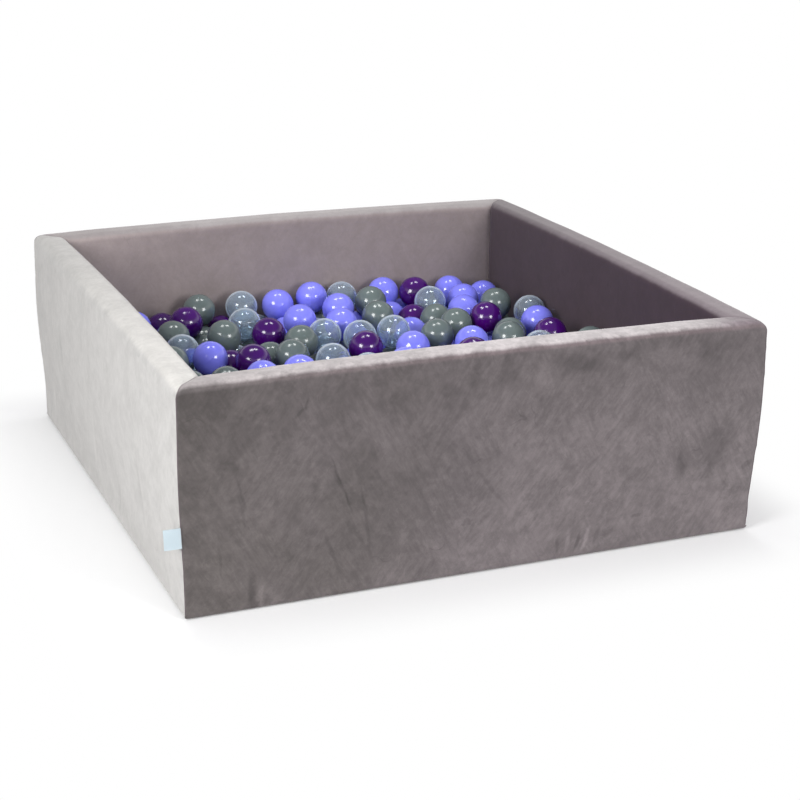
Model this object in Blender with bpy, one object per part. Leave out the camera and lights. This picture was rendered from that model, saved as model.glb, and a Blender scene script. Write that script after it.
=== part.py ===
# Square foam ball pit: four foam walls and a floor board in a zipped velvet cover,
# with a heap of plastic balls inside. Metres, +Z up, origin at the middle of the
# underside. The front is towards -Y.

import math
import random

import bmesh
import bpy
from mathutils import Matrix, Vector
from mathutils.bvhtree import BVHTree
from mathutils.geometry import delaunay_2d_cdt

# Driving sizes of the pit
outer_width = 1.10
outer_depth = 1.10
wall_height = 0.407
foam_thickness = 0.055
floor_foam_thickness = 0.030
fabric_thickness = 0.0022
fit_gap = 0.0003

# Soft form of the covered walls
rim_outer_radius = 0.020
rim_inner_radius = 0.016
rim_crown = 0.006
foot_radius = 0.009
foot_draw_in = 0.007
foot_band = 0.045
under_turn = 0.018
side_swell = 0.004
face_swell = 0.004
wall_stations = 7
arc_steps = 4
side_steps = 5

# Zip along the foot of the back wall
zip_end_margin = 0.070
zip_height = 0.024
tape_width = 0.014
tape_thickness = 0.0008
tape_tail = 0.012
coil_width = 0.0026
coil_depth = 0.0019
coil_bevel = 0.0006
zip_slot_height = 0.0116
zip_stop_length = 0.003
slider_length = 0.010
slider_wall = 0.0013
slider_plate = 0.0014
slider_side_gap = 0.00045
slider_start = 0.002
ear_length = 0.0036
ear_thickness = 0.0012
pull_pin_radius = 0.0007
pull_knuckle_wall = 0.0006
pull_width = 0.0044
pull_length = 0.026
pull_thickness = 0.0012
round_steps = 12

# Ribbon flag in the front left corner seam, left plain
flag_width = 0.027
flag_height = 0.037
flag_thickness = 0.0010
flag_middle_height = 0.150
flag_curl = 0.004
flag_columns = 4
flag_rows = 3

# Balls
ball_diameter = 0.070
heap_height = 0.228
loose_rise_share = 0.25
layer_share = 0.76
deep_layer_share = 1.52
ball_segments = 12
ball_rings = 6
let_down_steps = 400
touch_limit = 0.000006

# Angles up to which faces are shaded as one round surface
fabric_smooth_angle = math.radians(40)
bed_smooth_angle = math.radians(50)
ball_smooth_angle = math.radians(60)

# Domes of the balls that stay in the bed
dome_ring_shares = (0.52, 0.94)
dome_ring_counts = (6, 9)
low_ring_shares = (0.55, 0.93)
low_ring_counts = (6, 6)
low_seen_share = 1.05
nearest_point_share = 0.20
pit_step_share = 0.12
pit_room_share = 0.15
pit_spacing_share = 0.34
fill_pitch_share = 1.05
row_pitch_share = 0.90
fill_jitter_share = 0.10
height_jitter_share = 0.22
loose_room_share = 1.01
fill_room_share = 0.98
first_room_share = 0.75
least_room_share = 0.85
edge_room_share = 0.12
edge_pitch_share = 0.50
fill_rounds = 40
fill_seed = 11
settle_rounds = 60
listed_left_share = -0.78
listed_front_share = -0.02

# Loose balls that can be lifted straight out: colour, then the place across and
# back as shares of the way from the middle to where a ball meets the wall
loose_ball_shares = (
    ("grey", -0.49, 0.97), ("clear", -0.28, 0.97), ("blue", -0.10, 0.96), ("blue", 0.08, 0.98),
    ("grey", 0.33, 0.83), ("blue", 0.46, 0.99), ("purple", 0.60, 0.92), ("clear", 0.61, 0.75),
    ("blue", 0.80, 0.78), ("grey", 0.90, 0.62), ("purple", 0.73, 0.37), ("blue", 0.96, 0.29),
    ("purple", 0.90, 0.04), ("grey", 0.41, 0.21), ("clear", 0.24, 0.32), ("blue", 0.51, 0.05),
    ("purple", 0.03, 0.13), ("clear", 0.08, 0.33), ("blue", 0.06, 0.52), ("blue", -0.10, 0.64),
    ("clear", -0.07, 0.39), ("grey", -0.21, 0.31), ("purple", -0.31, 0.47), ("grey", -0.32, 0.12),
    ("grey", -0.51, 0.50), ("purple", -0.61, 0.77), ("clear", -0.36, 0.67), ("clear", -0.74, 0.38),
    ("blue", -0.66, 0.22), ("purple", -0.51, 0.08), ("blue", 0.24, 0.09), ("clear", 0.32, -0.20),
    ("grey", 0.78, -0.30), ("blue", -0.80, -0.35), ("purple", 0.05, -0.52), ("grey", -0.42, -0.60),
    ("blue", 0.52, -0.66), ("clear", -0.74, -0.86), ("purple", 0.86, -0.88),
)
# Balls that the bed holds, at places seen in the same way, with a third share: how far
# the middle lies over the level of the heap, in ball radii
held_ball_shares = (
    (-0.67, 0.98, -0.8), (-0.72, 0.60, 0.1), (-0.55, 0.75, -1.1), (-0.64, 0.57, -1.5),
    (-0.39, 1.00, -1.4), (-0.47, 0.93, -1.4), (-0.34, 0.65, -1.4), (-0.45, 0.55, -1.4),
    (-0.55, 0.29, -0.7), (-0.37, 0.27, -0.4), (-0.11, 0.80, -1.1), (0.24, 0.99, 0.1),
    (0.14, 0.77, 0.2), (0.27, 0.85, -1.0), (0.00, 0.59, -1.4), (-0.16, 0.04, 0.1),
    (0.07, 0.38, -1.75), (0.28, 0.61, 0.1), (0.41, 0.87, -0.8), (0.56, 1.00, -1.2),
    (0.37, 0.42, -0.4), (0.24, 0.33, -1.5), (0.55, 0.54, -0.2), (0.59, 0.37, 0.1),
    (0.51, 0.69, -0.5), (0.81, 0.97, -0.1), (0.98, 0.93, -0.5), (0.73, 0.62, -0.1),
    (1.00, 0.45, 0.1), (1.00, 0.15, -1.0), (0.69, 0.04, 0.3), (0.78, 0.21, -0.2),
    (1.00, -0.16, 0.3), (0.45, 1.00, -1.4), (-0.07, 0.40, -1.8), (-0.31, 0.48, -1.65),
    (-0.10, 0.63, -1.65), (0.03, 0.14, -1.65), (-0.32, 0.13, -1.6), (-0.21, 0.31, -1.75),
    (0.90, 0.03, -1.7),
)

# What follows from the sizes
skin_and_gap = fabric_thickness + fit_gap
wall_thickness = foam_thickness + 2 * skin_and_gap
floor_board_top = skin_and_gap + floor_foam_thickness
floor_skin_bottom = floor_board_top + fit_gap
floor_skin_top = floor_skin_bottom + fabric_thickness
inside_width = outer_width - 2 * wall_thickness
inside_depth = outer_depth - 2 * wall_thickness
ball_radius = ball_diameter / 2
reach_x = inside_width / 2 - ball_radius - fit_gap
reach_y = inside_depth / 2 - ball_radius - fit_gap
zip_length = outer_width - 2 * zip_end_margin
back_face = outer_depth / 2 - foot_draw_in
tape_face = back_face - skin_and_gap
coil_face = tape_face + fit_gap + coil_depth
slider_inner_width = 2 * (coil_width + slider_side_gap)
pull_knuckle_radius = pull_pin_radius + fit_gap + pull_knuckle_wall


# Clearing the scene and plain helpers

def clear_scene():
    for old in list(bpy.data.objects):
        bpy.data.objects.remove(old, do_unlink=True)


def make_material(name, colour, roughness, see_through=0.0):
    material = bpy.data.materials.new(name)
    material.use_nodes = True
    shader = material.node_tree.nodes["Principled BSDF"]
    shader.inputs["Base Color"].default_value = (*colour, 1.0)
    shader.inputs["Roughness"].default_value = roughness
    shader.inputs["Metallic"].default_value = 0.0
    shader.inputs["Transmission Weight"].default_value = see_through
    material.diffuse_color = (*colour, 1.0)
    return material


def add_object(name, bm, material, smooth_angle=None):
    bmesh.ops.recalc_face_normals(bm, faces=bm.faces)
    mesh = bpy.data.meshes.new(name)
    bm.to_mesh(mesh)
    bm.free()
    mesh.materials.append(material)
    if smooth_angle is not None:
        mesh.shade_smooth()
        mesh.set_sharp_from_angle(angle=smooth_angle)
    thing = bpy.data.objects.new(name, mesh)
    bpy.context.collection.objects.link(thing)
    return thing


def box_mesh(low, high):
    bm = bmesh.new()
    bmesh.ops.create_cube(bm, size=1.0)
    size = Vector(high) - Vector(low)
    middle = (Vector(high) + Vector(low)) / 2
    bmesh.ops.transform(bm, matrix=Matrix.Translation(middle) @ Matrix.Diagonal((*size, 1)), verts=bm.verts)
    return bm


def cut_with(thing, name, bm):
    cutter = add_object(name, bm, thing.data.materials[0])
    cutter.hide_render = True
    cutter.display_type = "WIRE"
    cutter.parent = thing
    cut = thing.modifiers.new(name, "BOOLEAN")
    cut.operation = "DIFFERENCE"
    cut.solver = "EXACT"
    cut.object = cutter


# Profile of a covered wall: how far in from the outer face, and how high

def rise_share(height):
    top = wall_height - rim_outer_radius
    return min(1.0, max(0.0, (height - foot_band) / (top - foot_band)))


def side_inset(height):
    rise = rise_share(height)
    ease = rise * rise * (3 - 2 * rise)
    return foot_draw_in * (1 - ease) - side_swell * math.sin(math.pi * rise) ** 2


def arc_points(centre, radius, first, last):
    points = []
    for step in range(arc_steps + 1):
        angle = math.radians(first + (last - first) * step / arc_steps)
        points.append((centre[0] + radius * math.cos(angle), centre[1] + radius * math.sin(angle)))
    return points


def wall_line(offset, inner_foot):
    foot_centre = (foot_draw_in + foot_radius, foot_radius)
    outer_centre = (rim_outer_radius, wall_height - rim_outer_radius)
    inner_centre = (wall_thickness - rim_inner_radius, wall_height - rim_inner_radius)
    line = [(foot_draw_in + under_turn, offset)]
    line += arc_points(foot_centre, foot_radius - offset, 270, 180)
    for step in range(side_steps):
        height = foot_band + (outer_centre[1] - foot_band) * step / side_steps
        line.append((side_inset(height) + offset, height))
    line += arc_points(outer_centre, rim_outer_radius - offset, 180, 90)
    line += arc_points(inner_centre, rim_inner_radius - offset, 90, 0)
    line.append((wall_thickness - offset, inner_foot))
    return line


def wall_point(point, along, run, across):
    inset, height = point
    arch = 1 - along * along
    swell = 0.0
    if inset < wall_thickness / 2:
        swell = face_swell * arch * math.sin(math.pi * rise_share(height))
    place = along * (run / 2 - inset - fit_gap)
    lift = rim_crown * arch * (height / wall_height) ** 2
    return Vector((place, inset - swell - across / 2, height + lift))


def join_lines(bm, first, second):
    # Split the same way on skin and foam, so that the gap between them stays even
    for a, b, c, d in zip(first, first[1:], second[1:], second):
        bm.faces.new((a, b, c))
        bm.faces.new((a, c, d))


def wall_mesh(run, across, lines):
    bm = bmesh.new()
    stations = []
    for station in range(wall_stations):
        along = 2 * station / (wall_stations - 1) - 1
        stations.append([[bm.verts.new(wall_point(p, along, run, across)) for p in line] for line in lines])
    for here, after in zip(stations, stations[1:]):
        for line, line_after in zip(here, after):
            join_lines(bm, line, line_after)
        for end in (0, -1) if len(lines) == 2 else ():
            bm.faces.new((here[0][end], after[0][end], after[1][end], here[1][end]))
        if len(lines) == 1:
            bm.faces.new((here[0][0], after[0][0], after[0][-1], here[0][-1]))
    for lines_at_end in (stations[0], stations[-1]):
        if len(lines) == 2:
            join_lines(bm, lines_at_end[0], lines_at_end[1])
        else:
            bm.faces.new(lines_at_end[0])
    return bm


wall_sides = (
    ("front", 0, outer_width, outer_depth),
    ("right", 90, outer_depth, outer_width),
    ("back", 180, outer_width, outer_depth),
    ("left", 270, outer_depth, outer_width),
)


def turn_to_side(bm, angle):
    bmesh.ops.rotate(bm, verts=bm.verts, cent=(0, 0, 0), matrix=Matrix.Rotation(math.radians(angle), 3, "Z"))


def build_walls(foam, velvet):
    foam_line = wall_line(skin_and_gap, skin_and_gap)
    skin_outside = wall_line(0.0, floor_skin_bottom)
    skin_inside = wall_line(fabric_thickness, floor_skin_bottom)
    walls = {}
    for side, angle, run, across in wall_sides:
        board = wall_mesh(run, across, [foam_line])
        turn_to_side(board, angle)
        walls["foam_wall_" + side] = add_object("foam_wall_" + side, board, foam, fabric_smooth_angle)
        skin = wall_mesh(run, across, [skin_outside, skin_inside])
        turn_to_side(skin, angle)
        walls["cover_" + side] = add_object("cover_" + side, skin, velvet, fabric_smooth_angle)
    return walls


def build_floor(foam, velvet, lining):
    half_x = outer_width / 2 - foot_draw_in - under_turn - fit_gap
    half_y = outer_depth / 2 - foot_draw_in - under_turn - fit_gap
    base = box_mesh((-half_x, -half_y, 0), (half_x, half_y, fabric_thickness))
    add_object("cover_base", base, lining)
    half_x = inside_width / 2 + fabric_thickness
    half_y = inside_depth / 2 + fabric_thickness
    board = box_mesh((-half_x, -half_y, skin_and_gap), (half_x, half_y, floor_board_top))
    add_object("foam_floor_board", board, foam)
    half_x = inside_width / 2 - fit_gap
    half_y = inside_depth / 2 - fit_gap
    skin = box_mesh((-half_x, -half_y, floor_skin_bottom), (half_x, half_y, floor_skin_top))
    add_object("cover_floor", skin, velvet)


# Zip: two tapes, two coils and two end stops, with a slider and its pull

def build_zip(walls, tape, metal):
    half = zip_length / 2
    slot_half = half + zip_stop_length + 2 * fit_gap
    slot_low = (-slot_half, tape_face - fit_gap, zip_height - zip_slot_height / 2)
    slot_high = (slot_half, back_face + fabric_thickness, zip_height + zip_slot_height / 2)
    cut_with(walls["cover_back"], "zip_slot_cutter", box_mesh(slot_low, slot_high))
    tape_half = half + tape_tail
    groove_reach = tape_width + fit_gap
    groove_low = (-tape_half - fit_gap, tape_face - tape_thickness - fit_gap, zip_height - groove_reach)
    groove_high = (tape_half + fit_gap, back_face, zip_height + groove_reach)
    cut_with(walls["foam_wall_back"], "zip_groove_cutter", box_mesh(groove_low, groove_high))
    for name, side in (("upper", 1), ("lower", -1)):
        near = zip_height + side * fit_gap / 2
        far = zip_height + side * tape_width
        low = (-tape_half, tape_face - tape_thickness, min(near, far))
        high = (tape_half, tape_face, max(near, far))
        add_object("zip_tape_" + name, box_mesh(low, high), tape)
        far = near + side * coil_width
        low = (-half, coil_face - coil_depth, min(near, far))
        high = (half, coil_face, max(near, far))
        coil = box_mesh(low, high)
        edges = [e for e in coil.edges if all(v.co.y > coil_face - coil_depth / 2 for v in e.verts)
                 and abs(e.verts[0].co.x - e.verts[1].co.x) > half]
        bmesh.ops.bevel(coil, geom=edges, offset=coil_bevel, segments=2, affect="EDGES", profile=0.5)
        add_object("zip_coil_" + name, coil, tape)
    for name, side in (("start", -1), ("end", 1)):
        near = side * (half + fit_gap)
        far = side * (half + fit_gap + zip_stop_length)
        low = (min(near, far), coil_face - coil_depth, zip_height - coil_width)
        high = (max(near, far), coil_face, zip_height + coil_width)
        add_object("zip_stop_" + name, box_mesh(low, high), metal)


def build_slider(metal):
    left = -zip_length / 2 + slider_start
    right = left + slider_length
    channel_top = coil_face + fit_gap
    plate_top = channel_top + slider_plate
    half_inner = slider_inner_width / 2
    half_outer = half_inner + slider_wall
    foot = tape_face + fit_gap
    pin_y = plate_top + fit_gap + pull_knuckle_radius
    pin_x = (left + right) / 2
    ear_inner = pull_width / 2 + fit_gap
    ear_outer = ear_inner + ear_thickness
    ear_top = pin_y + pull_knuckle_radius
    outline = (
        (foot, -half_outer), (plate_top, -half_outer), (plate_top, half_outer), (foot, half_outer),
        (foot, half_inner), (channel_top, half_inner), (channel_top, -half_inner), (foot, -half_inner),
    )
    body = extruded_outline([(left, y, zip_height + z) for y, z in outline], (slider_length, 0, 0))
    slider = add_object("zip_slider", body, metal)
    sunk = plate_top - slider_plate / 2
    for side in (-1, 1):
        near = side * ear_inner
        far = side * ear_outer
        low = (pin_x - ear_length / 2, sunk, zip_height + min(near, far))
        high = (pin_x + ear_length / 2, ear_top, zip_height + max(near, far))
        join_to(slider, "ear", box_mesh(low, high))
    pin = rod_mesh(pull_pin_radius, 2 * ear_inner + ear_thickness)
    pin_place = Vector((pin_x, pin_y, zip_height))
    bmesh.ops.translate(pin, verts=pin.verts, vec=pin_place)
    join_to(slider, "pin", pin)
    return pin_place


def rod_mesh(radius, length):
    bm = bmesh.new()
    bmesh.ops.create_cone(bm, cap_ends=True, segments=round_steps, radius1=radius, radius2=radius,
                          depth=length)
    return bm


def extruded_outline(points, shift):
    bm = bmesh.new()
    face = bm.faces.new([bm.verts.new(point) for point in points])
    grown = bmesh.ops.extrude_face_region(bm, geom=[face])
    moved = [item for item in grown["geom"] if isinstance(item, bmesh.types.BMVert)]
    bmesh.ops.translate(bm, verts=moved, vec=shift)
    return bm


def join_to(thing, name, bm):
    piece = add_object(thing.name + "_" + name, bm, thing.data.materials[0])
    piece.hide_render = True
    piece.display_type = "WIRE"
    piece.parent = thing
    join = thing.modifiers.new(name, "BOOLEAN")
    join.operation = "UNION"
    join.solver = "EXACT"
    join.object = piece


def build_pull(pin_place, metal):
    outline = []
    half_thick = pull_thickness / 2
    start = math.asin(half_thick / pull_knuckle_radius)
    for step in range(round_steps + 1):
        angle = start + (2 * math.pi - 2 * start) * step / round_steps
        outline.append((pull_knuckle_radius * math.cos(angle), pull_knuckle_radius * math.sin(angle)))
    outline += [(pull_length, -half_thick), (pull_length, half_thick)]
    bottom = -pull_width / 2
    body = extruded_outline([(x, y, bottom) for x, y in outline], (0, 0, pull_width))
    pull = add_object("zip_pull", body, metal)
    pull.location = pin_place
    hole = rod_mesh(pull_pin_radius + fit_gap, 2 * pull_width)
    cut_with(pull, "zip_pull_hole_cutter", hole)


# Ribbon flag: sewn into the corner seam, standing out to the left

def build_flag(ribbon):
    bm = bmesh.new()
    sheets = []
    for face_side in (-1, 1):
        sheet = []
        for row in range(flag_rows + 1):
            height = flag_middle_height + flag_height * (row / flag_rows - 0.5)
            inset = side_inset(height)
            line = []
            for column in range(flag_columns + 1):
                share = column / flag_columns
                x = inset - outer_width / 2 - fit_gap - flag_width * share
                y = inset - outer_depth / 2 + flag_curl * share * share + face_side * flag_thickness / 2
                line.append(bm.verts.new((x, y, height)))
            sheet.append(line)
        sheets.append(sheet)
    for sheet in sheets:
        for line, above in zip(sheet, sheet[1:]):
            for i in range(flag_columns):
                bm.faces.new((line[i], line[i + 1], above[i + 1], above[i]))
    outer, inner = sheets
    edge_pairs = []
    for column in (0, flag_columns):
        edge_pairs.append(([line[column] for line in outer], [line[column] for line in inner]))
    for row in (0, flag_rows):
        edge_pairs.append((outer[row], inner[row]))
    for first, second in edge_pairs:
        for a, b, c, d in zip(first, first[1:], second[1:], second):
            bm.faces.new((a, b, c, d))
    add_object("flag_label", bm, ribbon, fabric_smooth_angle)


# Ball heap: where the balls lie

def loose_places():
    level = heap_height + loose_rise_share * ball_radius
    return [[x_share * reach_x, y_share * reach_y, level] for colour, x_share, y_share in loose_ball_shares]


def held_balls():
    return [[x_share * reach_x, y_share * reach_y, heap_height + radii_up * ball_radius]
            for x_share, y_share, radii_up in held_ball_shares]


def row_places(pitch, row_pitch, first_shift):
    rows = max(2, int(2 * reach_y / row_pitch) + 1)
    places = []
    for row in range(rows):
        y = -reach_y + 2 * reach_y * row / (rows - 1)
        shift = pitch / 2 if (row + first_shift) % 2 else 0.0
        count = int((2 * reach_x - shift) / pitch) + 1
        for column in range(count):
            places.append((shift + column * pitch - reach_x, y))
    return places


def push_apart(fill, fixed):
    wide = ball_diameter * loose_room_share
    close = ball_diameter * fill_room_share
    for round_number in range(fill_rounds):
        for i, ball in enumerate(fill):
            move_x = 0.0
            move_y = 0.0
            pairs = [(other, wide) for other in fixed]
            pairs += [(other, close) for other in fill[:i] + fill[i + 1:]]
            for other, span in pairs:
                dx = ball[0] - other[0]
                dy = ball[1] - other[1]
                distance = math.hypot(dx, dy)
                if 0 < distance < span:
                    push = (span - distance) / 2
                    move_x += dx / distance * push
                    move_y += dy / distance * push
            ball[0] = min(reach_x, max(-reach_x, ball[0] + move_x))
            ball[1] = min(reach_y, max(-reach_y, ball[1] + move_y))


def plan_distance(a, b):
    return math.hypot(a[0] - b[0], a[1] - b[1])


def fill_balls(loose, held, jitter):
    pitch = ball_diameter * fill_pitch_share
    first_room = ball_diameter * first_room_share
    least_room = ball_diameter * least_room_share
    fill = []
    for x, y in row_places(pitch, pitch * row_pitch_share, 0):
        ball = [x + jitter.uniform(-1, 1) * fill_jitter_share * ball_radius,
                y + jitter.uniform(-1, 1) * fill_jitter_share * ball_radius,
                heap_height + jitter.uniform(-1, 1) * height_jitter_share * ball_radius]
        listed = x > listed_left_share * reach_x and y > listed_front_share * reach_y
        if not listed and all(plan_distance(ball, other) > first_room for other in loose + held):
            fill.append(ball)
    push_apart(fill, loose + held)
    kept = []
    for ball in fill:
        clear_of_loose = all(plan_distance(ball, other) > ball_diameter + fit_gap for other in loose)
        clear_of_held = all(plan_distance(ball, other) > least_room for other in held + kept)
        if clear_of_loose and clear_of_held:
            kept.append(ball)
    return kept


def layer_balls(drop_share, first_shift, jitter):
    pitch = ball_diameter * fill_pitch_share
    level = heap_height - drop_share * ball_diameter
    return [[x, y, level + jitter.uniform(-1, 0) * height_jitter_share * ball_radius]
            for x, y in row_places(pitch, pitch * row_pitch_share, first_shift)]


# Lets balls that press into each other slide apart by a few millimetres

def settle(moving, still):
    for round_number in range(settle_rounds):
        for i, ball in enumerate(moving):
            for other in moving[i + 1:]:
                part_pair(ball, other, 2)
            for other in still:
                part_pair(ball, other, 1)
            ball[0] = min(reach_x, max(-reach_x, ball[0]))
            ball[1] = min(reach_y, max(-reach_y, ball[1]))


def part_pair(ball, other, movers):
    gaps = [ball[axis] - other[axis] for axis in range(3)]
    if max(abs(gap) for gap in gaps) > ball_diameter:
        return
    distance = math.sqrt(sum(gap * gap for gap in gaps))
    if 0 < distance < ball_diameter:
        share = (ball_diameter - distance) / distance / movers
        for axis, gap in enumerate(gaps):
            ball[axis] += gap * share
            if movers == 2:
                other[axis] -= gap * share


# Each lower ball goes down until it clears those above it, or lies on the floor

def sink(lower, upper):
    for ball in lower:
        for other in upper:
            plan = plan_distance(ball, other)
            if plan < ball_diameter:
                ball[2] = min(ball[2], other[2] - math.sqrt(ball_diameter ** 2 - plan ** 2))
        ball[2] = max(ball[2], floor_skin_top + ball_radius)


# Ball bed: one solid whose top is made of domes

def dome_height(x, y, balls):
    best = None
    for ball in balls:
        distance = math.hypot(x - ball[0], y - ball[1])
        if distance < ball_radius:
            height = ball[2] + math.sqrt(ball_radius ** 2 - distance ** 2)
            if best is None or height > best:
                best = height
    return best


def circle_places(ball, radius, count, turn):
    return [(ball[0] + radius * math.cos(turn + 2 * math.pi * k / count),
             ball[1] + radius * math.sin(turn + 2 * math.pi * k / count)) for k in range(count)]


def dome_spots(ball, ring_shares, ring_counts, turn):
    spots = [(ball[0], ball[1], ball[2] + ball_radius)]
    for share, count in zip(ring_shares, ring_counts):
        rise = ball_radius * math.sqrt(1 - share * share)
        for x, y in circle_places(ball, share * ball_radius, count, turn):
            spots.append((x, y, ball[2] + rise))
    return spots


# Middles of the gaps that stay open between the top balls, the widest first

def pit_places(top):
    half_x = inside_width / 2 - ball_radius * edge_room_share
    half_y = inside_depth / 2 - ball_radius * edge_room_share
    step = ball_radius * pit_step_share
    open_spots = []
    for row in range(int(2 * half_y / step)):
        for column in range(int(2 * half_x / step)):
            spot = (column * step - half_x, row * step - half_y)
            room = min(plan_distance(spot, ball) for ball in top) - ball_radius
            if room > pit_room_share * ball_radius:
                open_spots.append((room, spot))
    spacing = ball_radius * pit_spacing_share
    pits = []
    for room, spot in sorted(open_spots, reverse=True):
        if all(plan_distance(spot, pit) > spacing for pit in pits):
            pits.append(spot)
    return pits


def bed_points(top, low, deep, loose):
    half_x = inside_width / 2 - fit_gap
    half_y = inside_depth / 2 - fit_gap
    edge_room = ball_radius * edge_room_share
    floor_level = min(ball[2] for ball in deep)
    near = nearest_point_share * ball_radius
    points = []

    def add(x, y, height):
        if abs(x) > half_x - edge_room or abs(y) > half_y - edge_room:
            return
        if all(math.hypot(x - p[0], y - p[1]) > near for p in points):
            points.append((x, y, height))

    def height_below(x, y):
        return dome_height(x, y, low) or dome_height(x, y, deep) or floor_level

    for x, y in pit_places(top + loose):
        add(x, y, height_below(x, y))
    for index, ball in enumerate(top):
        others = top[:index] + top[index + 1:]
        for x, y, height in dome_spots(ball, dome_ring_shares, dome_ring_counts, index):
            if height > (dome_height(x, y, others) or floor_level):
                add(x, y, height)
    clear = low_seen_share * ball_radius
    for index, ball in enumerate(low):
        others = low[:index] + low[index + 1:]
        for x, y, height in dome_spots(ball, low_ring_shares, low_ring_counts, index):
            seen = all(plan_distance((x, y), other) > clear for other in top)
            if seen and height > (dome_height(x, y, others) or floor_level):
                add(x, y, height)
    edge_pitch = ball_diameter * edge_pitch_share
    steps_x = int(2 * half_x / edge_pitch)
    steps_y = int(2 * half_y / edge_pitch)
    edge = []
    for side in (-1, 1):
        edge += [(-half_x + 2 * half_x * k / steps_x, side * half_y) for k in range(steps_x + 1)]
        edge += [(side * half_x, -half_y + 2 * half_y * k / steps_y) for k in range(1, steps_y)]
    for x, y in edge:
        points.append((x, y, dome_height(x, y, top) or height_below(x, y)))
    return points


def build_bed(top, low, deep, loose, plastic):
    points = bed_points(top, low, deep, loose)
    flat = [Vector((x, y)) for x, y, height in points]
    verts, edges, faces, orig_verts, orig_edges, orig_faces = delaunay_2d_cdt(flat, [], [], 0, touch_limit)
    bm = bmesh.new()
    made = [bm.verts.new((v.x, v.y, points[orig[0]][2])) for v, orig in zip(verts, orig_verts)]
    for face in faces:
        bm.faces.new([made[i] for i in face])
    rim = [e for e in bm.edges if e.is_boundary]
    grown = bmesh.ops.extrude_edge_only(bm, edges=rim)
    for item in grown["geom"]:
        if isinstance(item, bmesh.types.BMVert):
            item.co.z = floor_skin_top + fit_gap
    bmesh.ops.holes_fill(bm, edges=[e for e in bm.edges if e.is_boundary])
    bed = add_object("ball_bed", bm, plastic, bed_smooth_angle)
    tree = BVHTree.FromObject(bed, bpy.context.evaluated_depsgraph_get())
    return tree


# Loose balls: each is let down until it rests, with its pole on what carries it

def ball_mesh(centre, towards):
    bm = bmesh.new()
    bmesh.ops.create_uvsphere(bm, u_segments=ball_segments, v_segments=ball_rings, radius=ball_radius)
    turn = Vector((0, 0, -1)).rotation_difference(towards).to_matrix().to_4x4()
    bmesh.ops.transform(bm, matrix=Matrix.Translation(centre) @ turn, verts=bm.verts)
    return bm


def let_down(x, y, trees):
    centre = Vector((x, y, wall_height + ball_diameter))
    towards = Vector((0, 0, -1))
    for step in range(let_down_steps):
        nearest = None
        for tree in trees:
            place, normal, index, distance = tree.find_nearest(centre)
            if nearest is None or distance < nearest[1]:
                nearest = (place, distance)
        room = nearest[1] - ball_radius - fit_gap
        towards = (nearest[0] - centre).normalized()
        if room < touch_limit:
            break
        centre.z -= room
    return centre, towards


def build_loose_balls(bed_tree, colours):
    trees = [bed_tree]
    for number, (colour, x_share, y_share) in enumerate(loose_ball_shares, start=1):
        centre, towards = let_down(x_share * reach_x, y_share * reach_y, trees)
        bm = ball_mesh(centre, towards)
        trees.append(BVHTree.FromBMesh(bm))
        add_object("ball_%02d_%s" % (number, colour), bm, colours[colour], ball_smooth_angle)


def build_all():
    clear_scene()
    velvet = make_material("velvet", (0.23, 0.20, 0.20), 0.85)
    foam = make_material("foam", (0.85, 0.83, 0.72), 0.95)
    lining = make_material("lining", (0.30, 0.29, 0.29), 0.9)
    tape = make_material("zip_tape", (0.22, 0.20, 0.20), 0.8)
    metal = make_material("zip_metal", (0.45, 0.44, 0.43), 0.4)
    ribbon = make_material("ribbon", (0.80, 0.84, 0.85), 0.5)
    colours = {
        "blue": make_material("ball_blue", (0.23, 0.23, 0.90), 0.25),
        "grey": make_material("ball_grey", (0.16, 0.21, 0.19), 0.3),
        "purple": make_material("ball_purple", (0.07, 0.01, 0.16), 0.25),
        "clear": make_material("ball_clear", (0.80, 0.86, 0.90), 0.1, 0.8),
    }
    walls = build_walls(foam, velvet)
    build_floor(foam, velvet, lining)
    build_zip(walls, tape, metal)
    build_pull(build_slider(metal), metal)
    build_flag(ribbon)
    jitter = random.Random(fill_seed)
    loose = loose_places()
    held = held_balls()
    top = held + fill_balls(loose, held, jitter)
    settle(top, loose)
    low = layer_balls(layer_share, 1, jitter)
    sink(low, top + loose)
    deep = layer_balls(deep_layer_share, 0, jitter)
    sink(deep, low)
    bed_tree = build_bed(top, low, deep, loose, make_material("ball_mixed", (0.25, 0.26, 0.42), 0.3))
    build_loose_balls(bed_tree, colours)
    print("balls held in the bed:", len(top))


build_all()
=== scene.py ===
import math
import random

import bmesh
import bpy
from mathutils import Matrix, Vector, noise


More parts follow.
